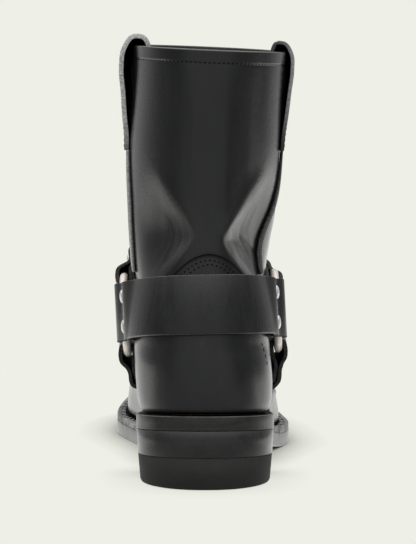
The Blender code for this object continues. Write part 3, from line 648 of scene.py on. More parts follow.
def skin(turn, number, out=0.0, hem=True):
    """Points of the upper's outer face in millimetres, moved out along the face."""
    turn, number = np.broadcast_arrays(np.asarray(turn, float), np.asarray(number, float))
    here = ring_at(turn, number)
    x, y, z = np.moveaxis(here, -1, 0)
    along = ring_at(turn + SMALL, number) - ring_at(turn - SMALL, number)
    up = ring_at(turn, np.minimum(number + SMALL, TOP)) - ring_at(turn, np.maximum(number - SMALL, 0))
    normal = unit(np.cross(along, up))
    depth = fold_depth(turn, z) + crease_depth(turn, x, z) + bend_depth(x, y, z)
    if hem:
        drop = ring_at(turn, np.full_like(number, TOP))[..., 2] - z
        depth = depth - HEM_THICK * smooth((HEM - drop) / HEM_SOFT)
        depth = depth + HEM_PULL * np.exp(-(((drop - HEM) / HEM_SOFT) ** 2))
    return here + normal * (out - depth)[..., None]


def placed(points):
    """Table millimetres to the boot's own metres."""
    return (np.asarray(points) - np.array([0, SETBACK, 0])) * MM


def turns(count):
    return np.linspace(0, 2 * math.pi, count, endpoint=False)


# %% [markdown]
# ## Making a piece
#
# Most pieces of a boot are sheets, strips or slabs, and all of those are a row of outlines with a skin
# between them, a loft. One function lofts them all and keeps marks on the points, such as where a strap is
# cut. Another takes a finished mesh into the scene, hangs it on the boot's root, hides the solids that it
# stands for, and prints its size.

# %% Lofts and pieces
MERGE = 1e-7  # metres


def loft(name, rings, around=True, through=False, caps=None, marks=None):
    """A mesh through rings of points, in table millimetres."""
    points = placed(rings)
    count, size = points.shape[:2]
    grid = bmesh.new()
    layers = {key: grid.verts.layers.float.new(key) for key in marks or ()}
    verts = [[grid.verts.new(p) for p in ring] for ring in points]
    for key, layer in layers.items():
        for ring, row in zip(verts, np.broadcast_to(marks[key], (count, size))):
            for vert, mark in zip(ring, row):
                vert[layer] = float(mark)
    for i in range(count if through else count - 1):
        low, high = verts[i], verts[(i + 1) % count]
        for j in range(size if around else size - 1):
            k = (j + 1) % size
            grid.faces.new((low[j], low[k], high[k], high[j]))
    for ring in (verts[0], verts[-1]):
        if caps == "face":
            grid.faces.new(ring)
        if caps == "rungs":
            for j in range(size // 2 - 1):
                grid.faces.new((ring[j], ring[j + 1], ring[size - j - 2], ring[size - j - 1]))
    bmesh.ops.remove_doubles(grid, verts=grid.verts, dist=MERGE)
    bmesh.ops.dissolve_degenerate(grid, edges=grid.edges, dist=MERGE)
    bmesh.ops.recalc_face_normals(grid, faces=grid.faces)
    mesh = bpy.data.meshes.new(name)
    grid.to_mesh(mesh)
    grid.free()
    return mesh


def piece(name, mesh, material, slot, *nodes):
    """A finished mesh, riding on the boot and standing for its solids."""
    made = bpy.data.objects.new(name, mesh)
    scene.collection.objects.link(made)
    mesh.materials.clear()
    mesh.materials.append(material)
    mesh.shade_smooth()
    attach(made, "root")
    if nodes:
        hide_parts(*nodes)
    mesh.calc_loop_triangles()
    print(f"{name}: {len(mesh.loop_triangles)} triangles, {[round(v / MM, 1) for v in made.dimensions]} mm")
    return made


def plain(made):
    """Makes an object's modifiers part of its mesh."""
    view = bpy.context.evaluated_depsgraph_get()
    mesh = bpy.data.meshes.new_from_object(made.evaluated_get(view))
    made.modifiers.clear()
    made.data = mesh
    return mesh


# %% [markdown]
# ## The upper
#
# The shaft and the foot are one shell of leather, about two millimetres thick, open at the collar and under
# the foot. It is lofted as one closed skin: up the outside, over a rounded rim, and down the inside, where
# the rough side of the leather shows. The turned edge at the collar is a small step in its face.

# %% Upper
UPPER_COLUMNS = 220
UPPER_ROWS, HEM_ROWS, RIM_ROWS, INSIDE_ROWS = 150, 26, 6, 70
HEM_LEVEL = 11.6  # rows are closer above here
RIM_CROWN = 0.6  # how round the rim is

around = turns(UPPER_COLUMNS)
shaft_rows = np.linspace(0, HEM_LEVEL, UPPER_ROWS, endpoint=False)
rows = np.concatenate([shaft_rows, np.linspace(HEM_LEVEL, TOP, HEM_ROWS)])
outside = skin(around, rows[:, None])
inside = skin(around, np.linspace(TOP, 0, INSIDE_ROWS)[:, None], -WALL, hem=False)
half_rim = (outside[-1] - inside[0]) / 2
over = np.linspace(0, math.pi, RIM_ROWS + 2)[1:-1, None, None]
rim = inside[0] + half_rim + half_rim * np.cos(over)
rim = rim + np.array([0, 0, 1]) * np.linalg.norm(half_rim, axis=-1)[:, None] * np.sin(over) * RIM_CROWN
flesh = np.concatenate([np.zeros(len(outside) + RIM_ROWS), np.ones(INSIDE_ROWS)])[:, None]
# the folds' pale mark, partly a painted highlight
pulled = np.zeros((len(flesh), UPPER_COLUMNS))
pulled[: len(outside)] = fold_pale_and_highlight(np.broadcast_to(around, outside.shape[:2]), outside[..., 2])
upper_marks = {"flesh": flesh, "pulled": pulled}
upper_mesh = loft("upper", np.concatenate([outside, rim, inside]), through=True, marks=upper_marks)
upper = piece("boot_upper", upper_mesh, upper_leather, "leather", "upper")

# %% [markdown]
# ## Panels over the upper
#
# A panel is cut from the same leather and sewn on: the vamp over the forefoot, and the counter round the heel
# with its half-moon top. Each is a grid on the upper's own function with the Solidify modifier for its
# thickness and a Bevel to round its cut edge, so it follows every bulge under it.

# %% Panel shapes
PANEL_FOOT = 0.3  # panels begin this far up the first level, clear of the sole
PANEL_LIE, PANEL_THICK, PANEL_ROUND = 0.15, 1.95, 0.5
PANEL_CORNER = math.radians(50)  # edges sharper than this are rounded
Edge = namedtuple("Edge", "bearing level")
COUNTER_EDGE = (
    Edge(-54, 0.6),
    Edge(-60, 1.8),
    Edge(-62, 3.0),
    Edge(-61, 4.2),
    Edge(-57, 5.2),
    Edge(-48, 6.2),
    Edge(-34, 6.95),
    Edge(-21, 7.5),
    Edge(-14, 7.85),
    Edge(-5, 8.13),
    Edge(6, 8.25),
    Edge(17, 8.13),
    Edge(26, 7.85),
    Edge(32.5, 7.45),
    Edge(37, 6.6),
    Edge(42, 5.6),
    Edge(49, 4.85),
    Edge(54, 4.2),
    Edge(60, 3.6),
    Edge(62.5, 2.8),
    Edge(61, 1.8),
    Edge(55, 0.6),
)
VAMP_EDGE = (
    Edge(180, 8.5),
    Edge(164, 8.35),
    Edge(148, 7.7),
    Edge(128, 6.6),
    Edge(108, 5.2),
    Edge(88, 3.6),
    Edge(72, 1.9),
    Edge(60, 0.6),
)


def thickened(name, base, outer, thick, material, node):
    """A sheet with its thickness outward and its cut edges rounded."""
    mesh = loft(name, base, around=False)
    row, column = base.shape[0] // 2, base.shape[1] // 2
    spot = Vector(placed(base[row, column]))
    nearest = min(mesh.polygons, key=lambda face: (face.center - spot).length)
    if np.dot(nearest.normal, outer[row, column] - base[row, column]) < 0:
        mesh.flip_normals()
    made = piece(name, mesh, material, "leather", node)
    solid = made.modifiers.new("thickness", "SOLIDIFY")
    solid.thickness = thick * MM
    solid.offset = 1
    bevel = made.modifiers.new("rounded edge", "BEVEL")
    bevel.width = PANEL_ROUND * MM
    bevel.segments = 2
    bevel.limit_method = "ANGLE"
    bevel.angle_limit = PANEL_CORNER
    plain(made).shade_smooth()
    return made


def both_sides(edge):
    """An edge from its far foot over its top, given as the half from the top down."""
    top = edge[0].bearing
    return [Edge(2 * top - row.bearing, row.level) for row in edge[:0:-1]] + list(edge)


def panel(name, edge, columns, rows, node):
    """A panel from the feather line to an edge that runs from foot to foot, and the grid of its face."""
    bearings, levels = zip(*edge)
    corners = np.arange(len(edge))
    across = np.linspace(0, len(edge) - 1, columns)
    top_turn, top_level = hermite(across, corners, bearings), hermite(across, corners, levels)
    foot_turn = np.linspace(bearings[0], bearings[-1], columns)
    up = np.linspace(0, 1, rows)[:, None]
    number = PANEL_FOOT + (top_level - PANEL_FOOT) * up
    turn = np.radians(foot_turn + (top_turn - foot_turn) * up)
    base, outer = skin(turn, number, PANEL_LIE), skin(turn, number, PANEL_LIE + PANEL_THICK)
    return thickened(name, base, outer, PANEL_THICK, upper_leather, node), outer


vamp, vamp_face = panel("boot_vamp", both_sides(VAMP_EDGE), columns=170, rows=74, node="vamp")
counter, counter_face = panel("heel_counter_panel", COUNTER_EDGE, columns=190, rows=60, node="heel_counter")

# %% Painted shade along the edges
EDGE_SHADE, FEATHER_SHADE = 1.3, 3.2  # how far the painted shade reaches from an edge


def mark_near(made, lines, reach, mark="painted_shade", most=1.0):
    """Marks a piece where it is close to any of the lines, in table millimetres."""
    spots = np.concatenate([placed(line) for line in lines])
    tree = KDTree(len(spots))
    for k, spot in enumerate(spots):
        tree.insert(spot, k)
    tree.balance()
    mesh = made.data
    if mark not in mesh.attributes:
        mesh.attributes.new(mark, "FLOAT", "POINT")
    values = mesh.attributes[mark].data
    for k, vert in enumerate(mesh.vertices):
        near = most * math.exp(-((tree.find(vert.co)[2] / (reach * MM)) ** 2))
        values[k].value = max(values[k].value, near)


def finely(line):
    """A line's points, four for one, so that every point near the line is near one of them."""
    return along_path(line, 4)


# painted shade beside the panels' edges and along the feather line, where shadow falls at the step
edges = [finely(counter_face[-1]), finely(vamp_face[-1])]
for made in (upper, vamp, counter):
    mark_near(made, edges, EDGE_SHADE)
    mark_near(made, [finely(outside[0])], FEATHER_SHADE)
print("grime: along", len(edges), "panel edges and the feather line")

# %% [markdown]
# ## Seams down the sides
#
# The back and the front of the shaft meet at each side, under a raised strip. The strip is a narrow panel
# that follows a bearing read from a short table.

# %% Side seams
Seam = namedtuple("Seam", "level outer inner")
SIDE_SEAMS = (
    Seam(7.35, 59, 66),
    Seam(7.9, 61, 68),
    Seam(8.6, 67, 70),
    Seam(9.2, 76, 72),
    Seam(9.6, 82, 75),
    Seam(10.02, 86, 78),
)
SEAM_HALF, SEAM_THICK = 2.6, 1.75
SEAM_ROWS, SEAM_COLUMNS = 90, 9
STRIP_SHADE = 2.0  # painted shade along the outer strip's edges
OUTER_PALE, INNER_PALE = (0.6, "cut", 0.3), (1.2, "cut", 0.7)  # a fine pale line, and a bolder one


def side_seam(name, side, node):
    levels, outer, inner = zip(*SIDE_SEAMS)
    number = np.linspace(levels[0], levels[-1], SEAM_ROWS)[:, None]
    middle = np.radians(hermite(number, levels, outer if side > 0 else inner)) * side
    across = ring_at(middle + SMALL, number) - ring_at(middle - SMALL, number)
    reach = np.linalg.norm(across, axis=-1) / (2 * SMALL)
    turn = middle + np.linspace(-1, 1, SEAM_COLUMNS) * SEAM_HALF / reach
    number = np.broadcast_to(number, turn.shape)
    base, face = skin(turn, number, PANEL_LIE), skin(turn, number, PANEL_LIE + SEAM_THICK)
    return thickened(name, base, face, SEAM_THICK, upper_leather, node), face


seam_outer, seam_outer_face = side_seam("side_strip_outer", 1, "side_seam_outer")
seam_inner, seam_inner_face = side_seam("side_strip_inner", -1, "side_seam_inner")
outer_edges, inner_edges = (
    [finely(face[:, k]) for k in (0, -1)] for face in (seam_outer_face, seam_inner_face)
)
mark_near(seam_outer, outer_edges, STRIP_SHADE)
mark_near(seam_outer, outer_edges, *OUTER_PALE)
mark_near(seam_inner, inner_edges, *INNER_PALE)

# %% [markdown]
# ## Sole, welt and heel
#
# The outsole is one slab with a rise under the arch and a lift at the toe. The welt is a strip round the foot
# with a shallow groove for its stitches, painted black as shade. The heel is a stack: a block of pressed lifts,
# and a rubber cap on the floor. Each is a loft of the sole's outline, moved in by a little and lifted by a
# little from row to row, so that every edge is eased and every joint shows as a fine line.


# %% Outlines for the sole
def flat_ring(level, turn, height):
    x, y = plan(level, turn)
    return np.stack([x, y, height(y)], -1)


BREAST, BREAST_HOLLOW = 69.0, 4.0
HEEL_COLUMNS, BREAST_COLUMNS = 121, 33


def heel_ring(by, height):
    """The heel's outline in from the sole's edge, round the back and along its hollow breast."""
    turn = math.acos(1 - 2 * BREAST / SOLE_LENGTH) * np.linspace(-1, 1, HEEL_COLUMNS)
    x, y = plan(inset(SOLE_EDGE, by), turn)
    across = np.linspace(x[-1], x[0], BREAST_COLUMNS)[1:-1]
    hollow = y[-1] - BREAST_HOLLOW * (1 - (across / x[-1]) ** 2)
    x, y = np.concatenate([x, across]), np.concatenate([y, hollow])
    return np.stack([x, y, height(y)], -1)


Step = namedtuple("Step", "inward share lift")  # in from the edge, share of the thickness, and a lift on top
OUTSOLE_STEPS = (
    Step(0.9, 0, 0.0),
    Step(0.3, 0, 0.15),
    Step(0.05, 0, 0.5),
    Step(0.0, 0, 1.2),
    Step(0.05, 0, 1.5),
    Step(0.05, 0, 1.8),
    Step(0.0, 0, 2.0),
    Step(0.0, 1, -0.5),
    Step(0.15, 1, -0.1),
    Step(0.9, 1, 0.0),
    Step(1.7, 1, 0.0),
)
CAP_STEPS = (Step(3.6, 0, 0.0), Step(2.6, 0, 0.3), Step(2.1, 0, 1.3), Step(1.0, 1, 0.0), Step(1.4, 1, 0.1))
BLOCK_STEPS = (Step(1.2, 0, -0.1), Step(0.9, 0, 0.1), Step(0.2, 1, -0.25), Step(0.5, 1, 0.0))


def stepped(steps, low, high, outline):
    """The rows of a slab between two heights."""
    rings = []
    for step in steps:

        def height(y, step=step):
            return low(y) + (high(y) - low(y)) * step.share + step.lift

        rings.append(outline(step.inward, height))
    return rings


# %% Outsole and heel
SOLE_COLUMNS = 240
CAP_BACK, CAP_SLOPE = 18.1, -0.07

sole_turns = turns(SOLE_COLUMNS) + math.pi / SOLE_COLUMNS


def cap_top(y):
    return CAP_BACK + CAP_SLOPE * y


def outsole_top(y):
    return sole_bottom(y) + OUTSOLE_THICK


DUST_FROM, DUST_FULL = 75.0, 150.0  # forward from the back of the sole
GLINT_ROWS, SHADED_ROWS = (0, 0.5), (1, 2)  # in from the edge: the top edge's row, painted pale as a highlight, and the row under the upper's edge, painted black as shade


def sole_ring(by, height):
    return flat_ring(inset(SOLE_EDGE, by), sole_turns, height)


def dusty(rings):
    return smooth((np.asarray(rings)[..., 1] - DUST_FROM) / (DUST_FULL - DUST_FROM))


def top_rows(low, high):
    """A mark on those of the outsole's upper rows that lie between two distances in from its edge."""
    marked = [step.share == 1 and low < step.inward < high for step in OUTSOLE_STEPS]
    return np.array(marked, float)[:, None]


outsole_rings = stepped(OUTSOLE_STEPS, sole_bottom, outsole_top, sole_ring)
# the top edge's row is painted pale as a highlight, and the row under the upper's edge is painted black as
# shade
outsole_dust_and_glint = np.maximum(dusty(outsole_rings), top_rows(*GLINT_ROWS))
outsole_marks = {"painted_shade": top_rows(*SHADED_ROWS), "dusty": outsole_dust_and_glint}
outsole_mesh = loft("outsole", outsole_rings, caps="rungs", marks=outsole_marks)
piece("boot_outsole", outsole_mesh, sole_edge, "sole", "outsole")
cap_rings = stepped(CAP_STEPS, np.zeros_like, cap_top, heel_ring)
piece("heel_rubber_cap", loft("cap", cap_rings, caps="face"), rubber, "heel_rubber", "heel_cap")
block_rings = stepped(
    BLOCK_STEPS, lambda y: cap_top(y) + SEAM_GAP, lambda y: sole_bottom(y) - SEAM_FINE, heel_ring
)
piece("heel_lifts", loft("block", block_rings, caps="face"), heel_stack, "sole", "heel_block")

# %% Welt and insole
WELT_STEP, WELT_REACH, WELT_SKIVE = 0.15, 3.8, 0.2
WELT_EASED = 2.0  # thinner than this, its edges are less rounded
WELT_COLUMNS = 260
INSOLE_THICK, INSOLE_ROUND = 3.0, 1.0
Lip = namedtuple("Lip", "inward share drop")  # in from the edge, share of the thickness, drop below that
WELT_SECTION = (
    Lip(0.3, 0, 0.28),
    Lip(0.0, 0, 0.2),
    Lip(0.0, 1, 0.7),
    Lip(0.25, 1, 0.2),
    Lip(0.8, 1, 0.0),
    Lip(2.6, 1, 0.0),
    Lip(2.9, 1, 0.3),
    Lip(5.4, 1, 0.35),
    Lip(5.9, 1, 0.2),
)
GROOVE, GROOVE_FROM = 4.2, 2.8  # the middle and the side of the stitch groove, in from the welt's edge

welt_turn = math.acos(1 - 2 * WELT_TIP / SOLE_LENGTH)
welt_turns = np.linspace(welt_turn, 2 * math.pi - welt_turn, WELT_COLUMNS)
welt_edge_ring = inset(SOLE_EDGE, WELT_STEP)
welt_inner_ring = inset(LEVELS[0], WELT_REACH)


def welt_low(y):
    return outsole_top(y) + SEAM_GAP


def welt_high(y):
    return np.maximum(sole_top(y), welt_low(y) + WELT_SKIVE)


def welt_line(inward, share, drop):
    """A line along the welt, in from its edge."""
    outer = np.stack([*plan(welt_edge_ring, welt_turns)], -1)
    inner = np.stack([*plan(welt_inner_ring, welt_turns)], -1)
    way_in = unit(inner - outer)
    x, y = (outer + way_in * inward).T
    low, high = welt_low(y), welt_high(y)
    thick = smooth((high - low - WELT_SKIVE) / WELT_EASED)
    return np.stack([x, y, low + (high - low) * share - drop * thick], -1)


section = [welt_line(*lip) for lip in WELT_SECTION]
section.append(flat_ring(welt_inner_ring, welt_turns, welt_high))
section.append(flat_ring(welt_inner_ring, welt_turns, welt_low))
section = np.stack(section, 1)
# painted shade: the groove and the welt's inner faces go black
in_groove = np.array([[lip.inward > GROOVE_FROM for lip in WELT_SECTION] + [True, True]], float)
welt_mesh = loft("welt", section, caps="face", marks={"dusty": dusty(section), "painted_shade": in_groove})
piece("boot_welt", welt_mesh, welt_edge, "sole", "welt")

insole_edge = inset(welt_inner_ring, SEAM_GAP * 2)
insole_rings = [
    flat_ring(insole_edge, sole_turns, welt_low),
    flat_ring(insole_edge, sole_turns, lambda y: sole_top(y) + INSOLE_THICK - INSOLE_ROUND),
    flat_ring(inset(insole_edge, INSOLE_ROUND), sole_turns, lambda y: sole_top(y) + INSOLE_THICK),
]
piece("boot_insole", loft("insole", insole_rings, caps="rungs"), insole_board, "insole_board", "insole")

# %% [markdown]
# ## The harness
#
# Four straps run from two rings: one round the heel, one over the instep, and one down to the welt at each
# side. Each end is folded round its ring and riveted back on itself. The straps have to lie on the boot as it
# is now, panels and folds included, so rays cast at the dressed boot say where each part of a strap rests.

# %% What the straps lie on
Ring = namedtuple("Ring", "name side x y z")
RINGS = (Ring("outer", 1, 40.9, 80, 91.5), Ring("inner", -1, -45.7, 80, 89.0))
HARNESS_ROLL = math.radians(3.0)
RING_RADIUS, WIRE = 22.0, 2.25
STRAP_THICK, STRAP_GAP, STRAP_LIE = 2.5, 0.35, 1.0
RIVET_AT, RIVET_SEAT = 35.0, 4.6
Strap = namedtuple("Strap", "name angle skew width rivets hub")  # the angle is up from the toe's way
HEEL_STRAP = Strap("heel_strap", 170.5, 0, 33, (-8.5, 8.5), 46)
INSTEP_STRAP = Strap("instep_strap", 33.5, -13, 25, (-6.5, 6.5), 42)
ARCH_STRAP = Strap("arch_strap", -84, 0, 22, (0.0,), 0)
SWELL_TURNS = (-0.07, -0.035, 0, 0.035, 0.07)  # where the boot is felt under a strap
SWELL_SHARES = np.linspace(-1, 1, 9)
CLEAR = 160.0

points, faces = [], []
for under in (upper, vamp, counter):
    faces += [[len(points) + k for k in p.vertices] for p in under.data.polygons]
    points += [v.co.copy() for v in under.data.vertices]
DRESSED = BVHTree.FromPolygons(points, faces)


def press(start, direction):
    """Where a line meets the dressed boot, in table millimetres, or None."""
    hit = DRESSED.ray_cast(Vector(placed(start)), Vector(direction))[0]
    return None if hit is None else np.array(hit) / MM + np.array([0, SETBACK, 0])


def strap_ways(strap, side):
    """A strap's way along and across, where side goes from 1 at the outer ring to -1 at the inner."""
    angle = math.radians(strap.angle + strap.skew * side)
    up = np.array([-math.sin(HARNESS_ROLL), 0, math.cos(HARNESS_ROLL)])
    ahead = np.array([0.0, 1.0, 0.0])
    return ahead * math.cos(angle) + up * math.sin(angle), up * math.cos(angle) - ahead * math.sin(angle)


def ring_axes(ring, strap):
    """The ring's middle, its outward axis, and the strap's way along and across in its plane."""
    out = np.array([math.cos(HARNESS_ROLL), 0, math.sin(HARNESS_ROLL)]) * ring.side
    away, across = strap_ways(strap, ring.side)
    return np.array([ring.x, ring.y, ring.z]), out, away, across


def stand_off(ring, strap, distance):
    """How far the boot lies from the ring's plane under the strap, there."""
    middle, out, away, across = ring_axes(ring, strap)
    hits = []
    for share in SWELL_SHARES / 2:
        hit = press(middle + away * distance + across * share * strap.width + out * RING_RADIUS, -out)
        if hit is not None:
            hits.append(np.dot(hit - middle, out))
    return max(hits)


print("dressed boot:", len(faces), "faces to lie on")

# %% Folds at the rings
FOLD_STRAIGHT, PAST_RING, FOLD_DROP, FOLD_STEPS = 4.0, 2.0, 0.9, 7


def rivet_seat(ring, strap):
    """Heights of the inner ply over the ring's plane, at both ends of the flat that the rivets hold."""
    near, middle, far = (
        stand_off(ring, strap, RIVET_AT + RIVET_SEAT * k) + STRAP_GAP + STRAP_THICK / 2 for k in (-1, 0, 1)
    )
    swell = max(0.0, middle - (near + far) / 2)
    return near + swell, far + swell


def fold_path(ring, strap):
    """One end of a strap: from its tail, inside, round the ring's wire and back out to the rivets."""
    middle, out, away, across = ring_axes(ring, strap)
    reach = math.sqrt(RING_RADIUS**2 - (strap.width / 2) ** 2)
    bend = WIRE + STRAP_GAP + STRAP_THICK / 2
    fold = reach - WIRE * RING_RADIUS / reach + WIRE
    held_near, held_far = rivet_seat(ring, strap)
    ply = STRAP_THICK + STRAP_GAP
    near, far = RIVET_AT - RIVET_SEAT, RIVET_AT + RIVET_SEAT
    past, straight = RING_RADIUS + PAST_RING, fold + FOLD_STRAIGHT
    pairs = [(far, held_far), (near, held_near), (past, -bend), (straight, -bend)]
    for turn in np.linspace(-math.pi / 2, math.pi / 2, FOLD_STEPS):
        pairs.append((fold - bend * math.cos(turn), bend * math.sin(turn)))
    pairs += [(straight, bend), (past, bend * FOLD_DROP), (near, held_near + ply), (far, held_far + ply)]
    return [middle + away * d + out * h for d, h in pairs], across


# %% The way of a strap over the boot
GIRDLE_STEPS = 21
EASE, EASE_POWER = 1.5, 8  # the strap lifts to its rivets at the sides
SMOOTHINGS, SMOOTHED = 4, 0.7  # times the way is evened out, and the lift that this needs


def girdle(strap):
    """The stations of a strap from ring to ring, pressed on the boot in the plane of both rings."""
    start, end = (ring_axes(ring, strap)[0] for ring in RINGS)
    roll = (start - end) / np.linalg.norm(start - end)
    path, sides = [], []
    for turn in np.linspace(0, math.pi, GIRDLE_STEPS):
        away, across = strap_ways(strap, math.cos(turn))
        centre = (start + end) / 2 + away * strap.hub
        half = across * strap.width / 2
        ray = roll * math.cos(turn) + away * math.sin(turn)
        low, high = (press(centre + ray * CLEAR + half * k, -ray) for k in (-1, 1))
        side = (high - low) / np.linalg.norm(high - low)
        face = ray - side * np.dot(ray, side)
        face = face / np.linalg.norm(face)
        base = (low + high) / 2
        swell = 0.0
        for shift in SWELL_TURNS:
            beam = roll * math.cos(turn + shift) + away * math.sin(turn + shift)
            for k in SWELL_SHARES:
                hit = press(centre + beam * CLEAR + half * k, -beam)
                swell = max(swell, np.dot(hit - base, face))
        lift = EASE * abs(math.cos(turn)) ** EASE_POWER + SMOOTHED * math.sin(turn)
        path.append(base + face * (swell + STRAP_LIE + STRAP_THICK / 2 + lift))
        sides.append(side)
    path = np.array(path)
    for _ in range(SMOOTHINGS):
        path[1:-1] = path[1:-1] / 2 + (path[:-2] + path[2:]) / 4
    return list(path), sides


# %% [markdown]
# ### Cutting the straps
#
# A strap is a rounded oblong drawn along its path. Its narrow sides carry the mark of a cut edge, so the pale
# fibres show there, only faintly on the straps, whose dye is black. Where a strap folds round its ring or lies
# against the boot, its rough side and rim are painted black as shade. The path is read smoothly by its length,
# which keeps the tight turn round the ring even.

# %% Strips of leather
EDGE_ROUND, EDGE_STEPS = 0.55, 4
CUT_FACE, RIM_FACE = 0.8, 0.3  # how far a corner faces sideways where it counts as cut, or as rim
PER_SPAN = 6


def along_path_like(sides, count):
    """Unit sideways ways, spread evenly over a number of stations."""
    sides = np.asarray(sides, float)
    at = np.linspace(0, len(sides) - 1, count)
    spread = np.stack([np.interp(at, range(len(sides)), column) for column in sides.T], 1)
    return unit(spread)


def strip(name, path, sides, width, thick, pale, shade_along, grain, per_span=PER_SPAN, rim=True):
    """A rounded strip of leather along a path, pale where it is cut, and painted black as shade on its rough
    side and rim along the marked stretches.
    """
    line = along_path(path, per_span)
    across = along_path_like(sides, len(line))
    tangent = np.gradient(line, axis=0)
    normal = unit(np.cross(tangent, across))
    corner = np.linspace(0, math.pi / 2, EDGE_STEPS)
    u, v, cut, hidden = [], [], [], []
    for quarter, (right, top) in enumerate(((1, 1), (-1, 1), (-1, -1), (1, -1))):
        turn = corner + quarter * math.pi / 2
        u.append(right * (width / 2 - EDGE_ROUND) + EDGE_ROUND * np.cos(turn))
        v.append(top * (thick / 2 - EDGE_ROUND) + EDGE_ROUND * np.sin(turn))
        cut.append(np.abs(np.cos(turn)) > CUT_FACE)
        on_rim = np.abs(np.cos(turn)) > RIM_FACE
        hidden.append((on_rim & rim) | (~on_rim & (top * grain < 0)))
    u, v, cut = np.concatenate(u), np.concatenate(v), np.concatenate(cut) * pale
    shade_along = np.interp(np.linspace(0, 1, len(line)), np.linspace(0, 1, len(shade_along)), shade_along)
    painted_shade = shade_along[:, None] * np.concatenate(hidden)
    rings = line[:, None] + u[:, None] * across[:, None] + v[:, None] * normal[:, None]
    return loft(name, rings, caps="face", marks={"cut": cut, "painted_shade": painted_shade})


# %% Heel and instep straps
STRAP_PALE = 0.16


def whole_strap(strap, name):
    """A strap from its fold at one ring, over the boot, to its fold at the other."""
    first, first_side = fold_path(RINGS[0], strap)
    last, last_side = fold_path(RINGS[1], strap)
    middle, middle_sides = girdle(strap)
    path = first + middle + last[::-1]
    sides = [first_side] * len(first) + middle_sides + [last_side] * len(last)
    # painted shade on the folds' rough side and rim
    shade_along = [1] * len(first) + [0] * len(middle) + [1] * len(last)
    mesh = strip(name, path, sides, strap.width, STRAP_THICK, STRAP_PALE, shade_along, 1)
    return piece(name, mesh, strap_leather, "leather", strap.name)


whole_strap(HEEL_STRAP, "harness_heel_strap")
whole_strap(INSTEP_STRAP, "harness_instep_strap")

# %% Arch straps
ARCH_SLACK, ARCH_FOOT, ARCH_STEPS, ARCH_READS = 2.4, 2.0, 5, 400
ARCH_TWIST, FOOT_TWIST = math.radians(13), math.radians(9)  # the rear edge turns out, and in at the foot
TWIST_FROM, TWIST_FULL, TWIST_EASE, TWIST_END = 21.0, 31.0, 32.0, 50.0  # down from the ring


def twisted(spot, side, middle, out, away):
    """The way across an arch strap at a spot, turned about the strap's middle."""
    distance = np.dot(spot - middle, away)
    share = smooth((distance - TWIST_FROM) / (TWIST_FULL - TWIST_FROM))
    low = smooth((distance - TWIST_EASE) / (TWIST_END - TWIST_EASE))
    twist = ARCH_TWIST * share * (1 - low) - FOOT_TWIST * low
    return side * np.cos(twist) - out * np.sin(twist)


def arch_strap(ring):
    """The strap from a ring down to the welt, where its end is cut along the welt."""
    path, across = fold_path(ring, ARCH_STRAP)
    middle, out, away, _ = ring_axes(ring, ARCH_STRAP)
    sides = [across] * len(path)
    tail = RIVET_AT + RIVET_SEAT
    down = np.linspace(tail, CLEAR, ARCH_READS)
    spots = middle + away * down[:, None]
    end = down[np.argmax(spots[:, 2] < sole_top(spots[:, 1]) + ARCH_FOOT)]
    y = (middle + away * end)[1]
    slope = np.array([0, 1, (sole_top(y + 1) - sole_top(y - 1)) / 2])
    slope = slope / np.linalg.norm(slope)
    for share in np.linspace(0, 1, ARCH_STEPS + 1)[1:]:
        distance = tail + (end - tail) * share
        stand = stand_off(ring, ARCH_STRAP, distance) + STRAP_GAP + STRAP_THICK / 2 + ARCH_SLACK * (1 - share)
        path.append(middle + away * distance + out * stand)
        side = across + (slope - across) * share
        sides.append(side / np.linalg.norm(side))
    sides = [twisted(spot, side, middle, out, away) for spot, side in zip(path, sides)]
    name = f"harness_arch_strap_{ring.name}"
    # painted shade along the whole arch strap's rough side and rim
    mesh = strip(name, path, sides, ARCH_STRAP.width, STRAP_THICK, STRAP_PALE, [1] * len(path), ring.side)
    return piece(name, mesh, strap_leather, "leather", f"arch_strap_{ring.name}")


for ring in RINGS:
    arch_strap(ring)

# %% Rings
RING_SEGMENTS, WIRE_SEGMENTS = 96, 20

for ring in RINGS:
    bpy.ops.mesh.primitive_torus_add(
        major_radius=RING_RADIUS * MM,
        minor_radius=WIRE * MM,
        major_segments=RING_SEGMENTS,
        minor_segments=WIRE_SEGMENTS,
        location=placed([ring.x, ring.y, ring.z]),
        rotation=(0, math.pi / 2 - HARNESS_ROLL, 0),
    )
    bent_wire = bpy.context.active_object
    bent_wire.data.transform(bent_wire.matrix_world)
    ring_mesh = bent_wire.data
    bpy.data.objects.remove(bent_wire)
    piece(f"harness_ring_{ring.name}", ring_mesh, ring_plate, "nickel", f"ring_{ring.name}")

# %% [markdown]
# ## Pull loops
#
# A loop of doubled leather is sewn to each side of the shaft, over the collar and down inside, to pull the
# boot on by. A short table gives its middle line, as how far it stands out from the shaft's face at each
# height, with the pinch of its front edge and the paleness of its cut edge.

